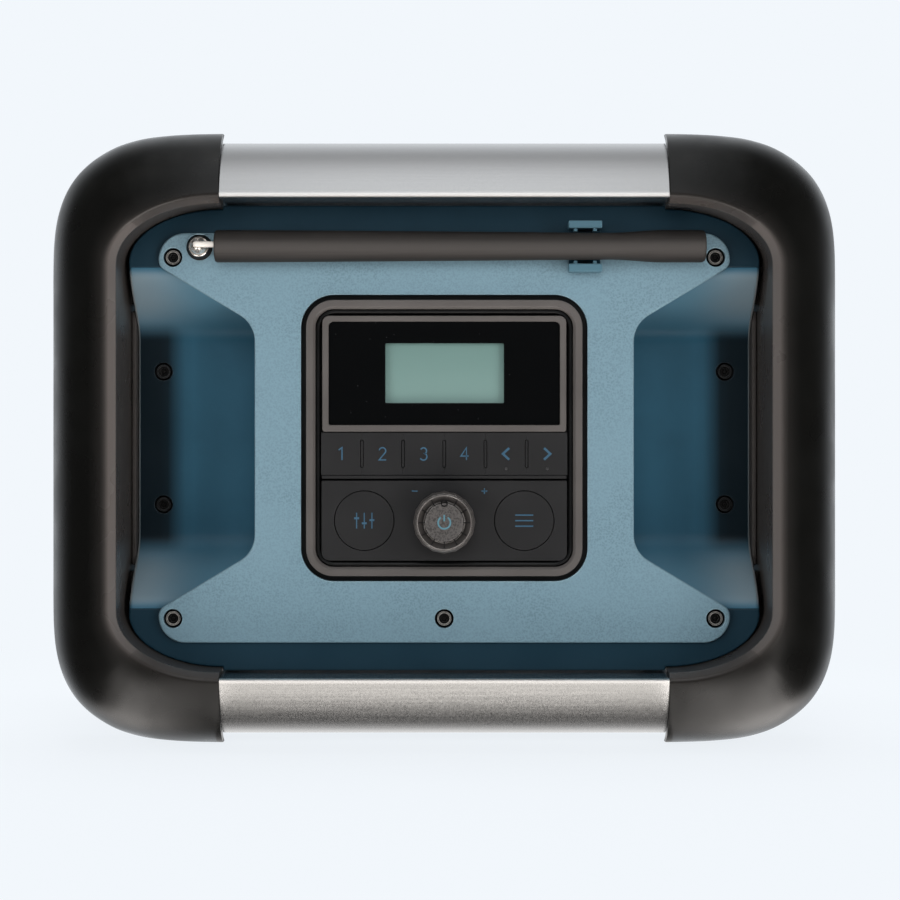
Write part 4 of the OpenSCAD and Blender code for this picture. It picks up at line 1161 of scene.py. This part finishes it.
WHIP_DROP = 0.2         # of the whip's middle below its hinge
WHIP_R, WAIST_DEEP = 6.1, 1.06


def whip_up(z):
    """How far up the whip's round a height is, from -1 to 1."""
    return (z - HINGE[2] + WHIP_DROP) / WHIP_R


def whip_sheen(x, y, z):
    """Painted highlight along the middle of the whip."""
    return 0.8 * eased_step(0.55 - abs(whip_up(z) + 0.1), 0.0, 0.5)


def whip_shade(x, y, z):
    """Painted shade on the top and the bottom of the whip, where its round turns away from the
    light.
    """
    up = whip_up(z)
    return 0.68 * eased_step(up, 0.1, 0.95) + 0.5 * eased_step(-up, 0.4, 0.95)


def antenna():
    """The whip, and the socket, knuckle, tongue and pin that hold it."""
    hx, y, z = HINGE
    x0, x1 = hx + 6.5, hx + 191
    knots = [(0, x0), (4.9, x0), (5.7, x0 + 0.25), (WHIP_R, x0 + 0.9), (WHIP_R, x0 + 6)]
    for t in [i / 24 for i in range(1, 25)]:
        knots.append((WHIP_R - WAIST_DEEP * (t ** 1.15), x0 + 6 + (x1 - 36 - x0 - 6) * t))
    for t in [i / 14 for i in range(1, 15)]:
        knots.append((5.04 + WAIST_DEEP * eased_step(t, 0, 1), x1 - 36 + 20 * t))
    knots += [(WHIP_R, x1 - 8), (WHIP_R, x1 - 1.9), (5.95, x1 - 1.0), (5.5, x1 - 0.3),
              (4.8, x1), (0, x1)]
    whip = Mould().turned("x", y, z - WHIP_DROP, knots, 48).cast(
        "antenna_whip", "whip_rubber", body="antenna", crease=50)
    painted(whip, sheen=whip_sheen, shade=whip_shade)

    Mould().turned("y", hx, z, [(3.85, -66), (4.9, -66), (4.9, -72.9), (4.78, -73.05),
                                (4.6, -73.15), (4.15, -75.1), (4.05, -75.3), (3.9, -75.25),
                                (3.85, -75.0), (3.85, -66)], 48
                   ).cast("antenna_socket", "bore_black", "panel_black")
    ball = Mould().turned("y", hx, z, [(0, -69), (3.8, -69), (3.8, -75.6), (3.7, -75.9),
                                       (3.4, -76.1), (3.2, -75.9), (3.15, -75.9),
                                       (3.1, -77.2), (2.8, -78.7), (2.25, -79.8),
                                       (1.5, -80.6), (0.7, -81.0), (0, -81.1)], 56
                          ).cast("antenna_knuckle", "chrome")
    carved(ball, Mould().box((hx - 2.4, -84, z - 0.85), (hx + 6, -77.6, z + 1.85), 0.1), 30)

    tongue = Mould()
    bar = arc(hx, y, 1.75, 90, 270, 14) + [(x0 + 0.8, -81.75), (x0 + 0.8, -78.7)]
    thick = [(0.9, -0.6), (0.45, -0.5), (0.12, -0.2), (0, 0.25), (0, 0.75), (0.12, 1.2),
             (0.45, 1.5), (0.9, 1.6)]
    tongue.tube([tongue.ring([(px, py, z + up) for px, py in shrunk(bar, by)])
                 for by, up in thick])
    tongue.cast("antenna_tongue", "satin_metal_painted_reflection", "chrome", "antenna")
    Mould().turned("z", hx, y, [(0, z - 3.0), (0.6, z - 3.0), (0.8, z - 2.85),
                                (0.8, z + 2.85), (0.6, z + 3.0), (0, z + 3.0)], 28
                   ).cast("antenna_pin", "chrome")


# ---- Sides, back and inside -------------------------------------------------------------

SHELL = [               # node, finish and the width of its rounded edges
    ("rear_housing", "housing_blue", 0.5), ("frame_lugs", "housing_blue", 0.5),
    ("housing_gasket", "seal_rubber", 0.1)]
FITTINGS = [            # the same, then the body and the slot where they aren't the usual
    ("battery_door", "housing_blue", 0.35, "door"),
    ("door_latch", "latch_plastic", 0.25, "latch", "knob_plastic"),
    ("door_hinge_pins", "chrome", 0.15),
    ("terminal_block", "panel_black", 0.25),
    ("port_cover", "bumper_rubber", 0.3, "port_flap"),
    ("aux_jack", "panel_black", 0.15),
    ("usb_socket", "component_metal", 0.1, "radio", "chrome"),
    ("encoder_shaft", "component_metal", 0.1, "knob", "chrome"),
    ("encoder_plunger", "panel_black", 0.1, "knob_plunger"),
    ("encoder_body", "component_metal", 0.15),
    ("main_board", "board_green", 0.12), ("amplifier_board", "board_green", 0.12),
    ("frame_screws", "screw_steel", 0.2), ("board_screws", "screw_steel", 0.2)]
SPEAKER_FACE = 117.3


def speaker(word, side):
    """Cone with a rolled rubber surround and a dust cap, and its pressed basket."""
    profile = [(0, 11.6), (5, 12.2), (8, 13.2), (11.8, 16.2), (12.4, 16.0)]
    profile += [(12.4 + 15.6 * t, 16.0 - 12.6 * t ** 1.2) for t in (0.2, 0.4, 0.6, 0.8, 1)]
    profile += arc(30.7, 2.6, 2.7, 202.5, 337.5, 6, 1.5)
    profile += [(33.6, 1.6), (34.0, 1.4), (34.0, 2.2), (12.0, 18.0), (0, 18.0)]
    Mould().turned("x", 0, 0, [(r, side * (SPEAKER_FACE - d)) for r, d in profile], 96
                   ).cast("speaker_cone_" + word, "cone_paper", crease=30)
    eased("speaker_basket_" + word, "grille_grey", 0.3)


def sides_and_back():
    for row in SHELL:
        eased(*row)
    for word, side in SIDES:
        eased("speaker_grille_" + word, "grille_grey", 0.5)
        speaker(word, side)
    for row in FITTINGS:
        eased(*row)


# ---- Floor, light and camera ------------------------------------------------------------

PALE = tone(242, 247, 252)
FLOOR_R, FLOOR_THICK = 1500, 3
FLOOR_GLOW = 0.9        # how pale the floor is near the radio, where it takes shadows
CARD_X, CARD_Y, CARD_DROP = 87, 165, 0.5
CARD_INSIDE, CARD_UNDER, CARD_OUTSIDE = 0.058, 0.077, 0.106     # in metres from the middle
CARD_DIM, CARD_PALE = (0.085, 0.085, 0.085, 1), (0.97, 0.93, 0.88, 1)
BACK_LIGHT = (0.95, 0.95, 0.95, 1)
FRONT_LIGHT = (0.02, 0.02, 0.02)
WARM, COOL = (1.03, 0.98, 0.94), (0.97, 1.0, 1.03)
STUDIO = [  # 1 above or -1 below, X: middle, core, reach, Y: four steps, strength, tint
    (-1, -0.37, 0.07, 0.27, (-0.85, -0.55, 0.20, 0.80), 3.4, WARM),
    (-1, 0.40, 0.14, 0.315, (-0.85, -0.55, 0.25, 0.85), 4.4, WARM),
    (-1, 0.0, 0.10, 0.35, (-0.95, -0.75, -0.60, 0.10), 0.38, WARM),
    (1, 0.0, 0.10, 0.26, (-0.98, -0.80, -0.45, 1.00), 1.22, COOL),
]
LAMPS = [   # place, width, height and power of a lamp that only fills
    ("left key", (-1.5, -1.25, 0.15), 1.0, 1.0, 14),
    ("right key", (1.5, -1.25, 0.15), 1.0, 1.0, 15),
    ("front fill", (0, -1.9, 0.7), 1.2, 0.8, 10),
    ("left side fill", (-1.7, 0.3, 0.8), 1.0, 0.8, 16),
    ("right side fill", (1.7, 0.3, 0.8), 1.0, 0.8, 16),
    ("back fill", (0, 1.9, 0.9), 1.2, 0.8, 24),
    ("top fill", (0, 0.15, 1.9), 1.0, 1.0, 14),
]


def laid_out(name, mould):
    """Part of the stage: the object, and the wiring and output of its empty material."""
    thing = linked(name, mould.mesh(name))
    thing.data.materials.append(bpy.data.materials.new(name))
    return thing, *emptied(thing.active_material)


def level_ring(mould, outline, height):
    """A level ring at a height above the floor."""
    return mould.ring([(x, y, height - MIDDLE) for x, y in outline])


def floor():
    """Pale studio floor that fades into the backdrop away from the radio."""
    mould = Mould()
    mould.tube([level_ring(mould, disc(0, 0, FLOOR_R, 96), h) for h in (-FLOOR_THICK, 0)])
    ground, wire, surface = laid_out("studio_floor", mould)
    fade = wire.between(wire.vector("LENGTH", wire.place())["Value"], 0.14, 0.4)
    matt = wire.add("BsdfDiffuse", {"Color": tone(226, 230, 234)})
    glow = wire.add("Emission", {"Color": PALE, "Strength": 1.0})
    share = wire.times(wire.sum("MAXIMUM", *wire.rays()),
                       wire.between(fade, 0, 1, FLOOR_GLOW, 1.0, False))
    mix = wire.add("MixShader", {0: share, 1: matt.outputs[0], 2: glow.outputs[0]})
    wire.feed(surface, mix.outputs[0])
    ground.visible_diffuse = ground.visible_shadow = ground.visible_glossy = False


def floor_card():
    """What the lower rails mirror of the floor: dim under them, pale further in and out."""
    mould = Mould()
    corners = oblong(-CARD_X, -CARD_Y, CARD_X, CARD_Y, 1)
    mould.faces.append(tuple(level_ring(mould, corners, -CARD_DROP)))
    card, wire, surface = laid_out("floor_card", mould)
    away = wire.sum("ABSOLUTE", wire.parts(wire.place())["Y"])
    outer = wire.blend(wire.between(away, CARD_UNDER, CARD_OUTSIDE), CARD_DIM, CARD_PALE)
    colour = wire.blend(wire.between(away, CARD_UNDER, CARD_INSIDE), outer, BACK_LIGHT)
    glow = wire.add("Emission", {"Color": colour, "Strength": 1.0})
    wire.feed(surface, glow.outputs[0])
    card.active_material.cycles.emission_sampling = "NONE"
    card.visible_camera = card.visible_diffuse = card.visible_shadow = False
    card.visible_transmission = card.visible_volume_scatter = False


def room():
    """World: pale behind the radio, dim on the camera's side, with soft lights round it."""
    scene.world = bpy.data.worlds.new("studio_room")
    wire, surface = emptied(scene.world, "OutputWorld")
    parts = wire.parts(wire.add("TexCoord").outputs["Generated"])
    lit = FRONT_LIGHT
    for height, middle, core, reach, (start, full, last, end), strength, tint in STUDIO:
        aside = wire.sum("ABSOLUTE", wire.sum("SUBTRACT", parts["X"], middle))
        glow = wire.between(aside, reach, core, 0.0, strength)
        for low, high in ((start, full), (end, last)):
            glow = wire.times(glow, wire.between(parts["Y"], low, high))
        half = wire.between(wire.times(parts["Z"], height), 0.0, 0.35)
        tinted = wire.add("VectorMath", {0: tint, "Scale": wire.times(glow, half)},
                          operation="SCALE").outputs["Vector"]
        lit = wire.vector("ADD", lit, tinted)["Vector"]
    seen, mirrored = wire.rays()
    behind = wire.between(parts["Y"], 0.3, 0.95)
    backdrop = wire.blend(behind, (0, 0, 0, 1), wire.blend(mirrored, BACK_LIGHT, PALE))
    colour = wire.blend(seen, wire.vector("ADD", lit, backdrop)["Vector"], PALE)
    glow = wire.add("Background", {"Color": colour, "Strength": 1.0})
    wire.feed(surface, glow.outputs[0])


def fill_lamps():
    """Lamps that light the radio evenly and aren't mirrored in glossy faces."""
    aim = Vector((0, 0, MIDDLE / 1000))
    for name, place, width, height, power in LAMPS:
        lamp = bpy.data.lights.new(name, "AREA")
        lamp.shape = "RECTANGLE"
        lamp.size, lamp.size_y, lamp.energy = width, height, power
        holder = linked(name, lamp)
        holder.location = place
        holder.rotation_euler = (aim - Vector(place)).to_track_quat("-Z", "Y").to_euler()
        holder.visible_camera = holder.visible_glossy = False


def camera():
    lens = bpy.data.cameras.new("camera")
    lens.sensor_width, lens.lens, lens.clip_start = 36, 92.02, 0.05
    lens.shift_x, lens.shift_y = 0.00639, -0.01333
    scene.camera = linked("camera", lens)
    scene.camera.location = (0, -0.945, MIDDLE / 1000)
    scene.camera.rotation_euler = (math.radians(90), 0, 0)
    scene.view_settings.view_transform = "Standard"


ring_frames()
face_plate()
front_cover()
for word, side in SIDES:
    side_panel("side_panel_" + word, side)
clip()
screw_heads("face_screws", FACE_SCREWS, -69.8, -1, "screw_rim_highlight")
screw_heads("recess_screws", RECESS_SCREWS, -41.7, -1, "screw_dull")
screw_heads("rear_screws", both_ways(100, 71), 67.5, 1, "screw_dull")
panel()
keys()
pad()
knob()
marks()
antenna()
sides_and_back()
floor()
floor_card()
room()
fill_lamps()
camera()
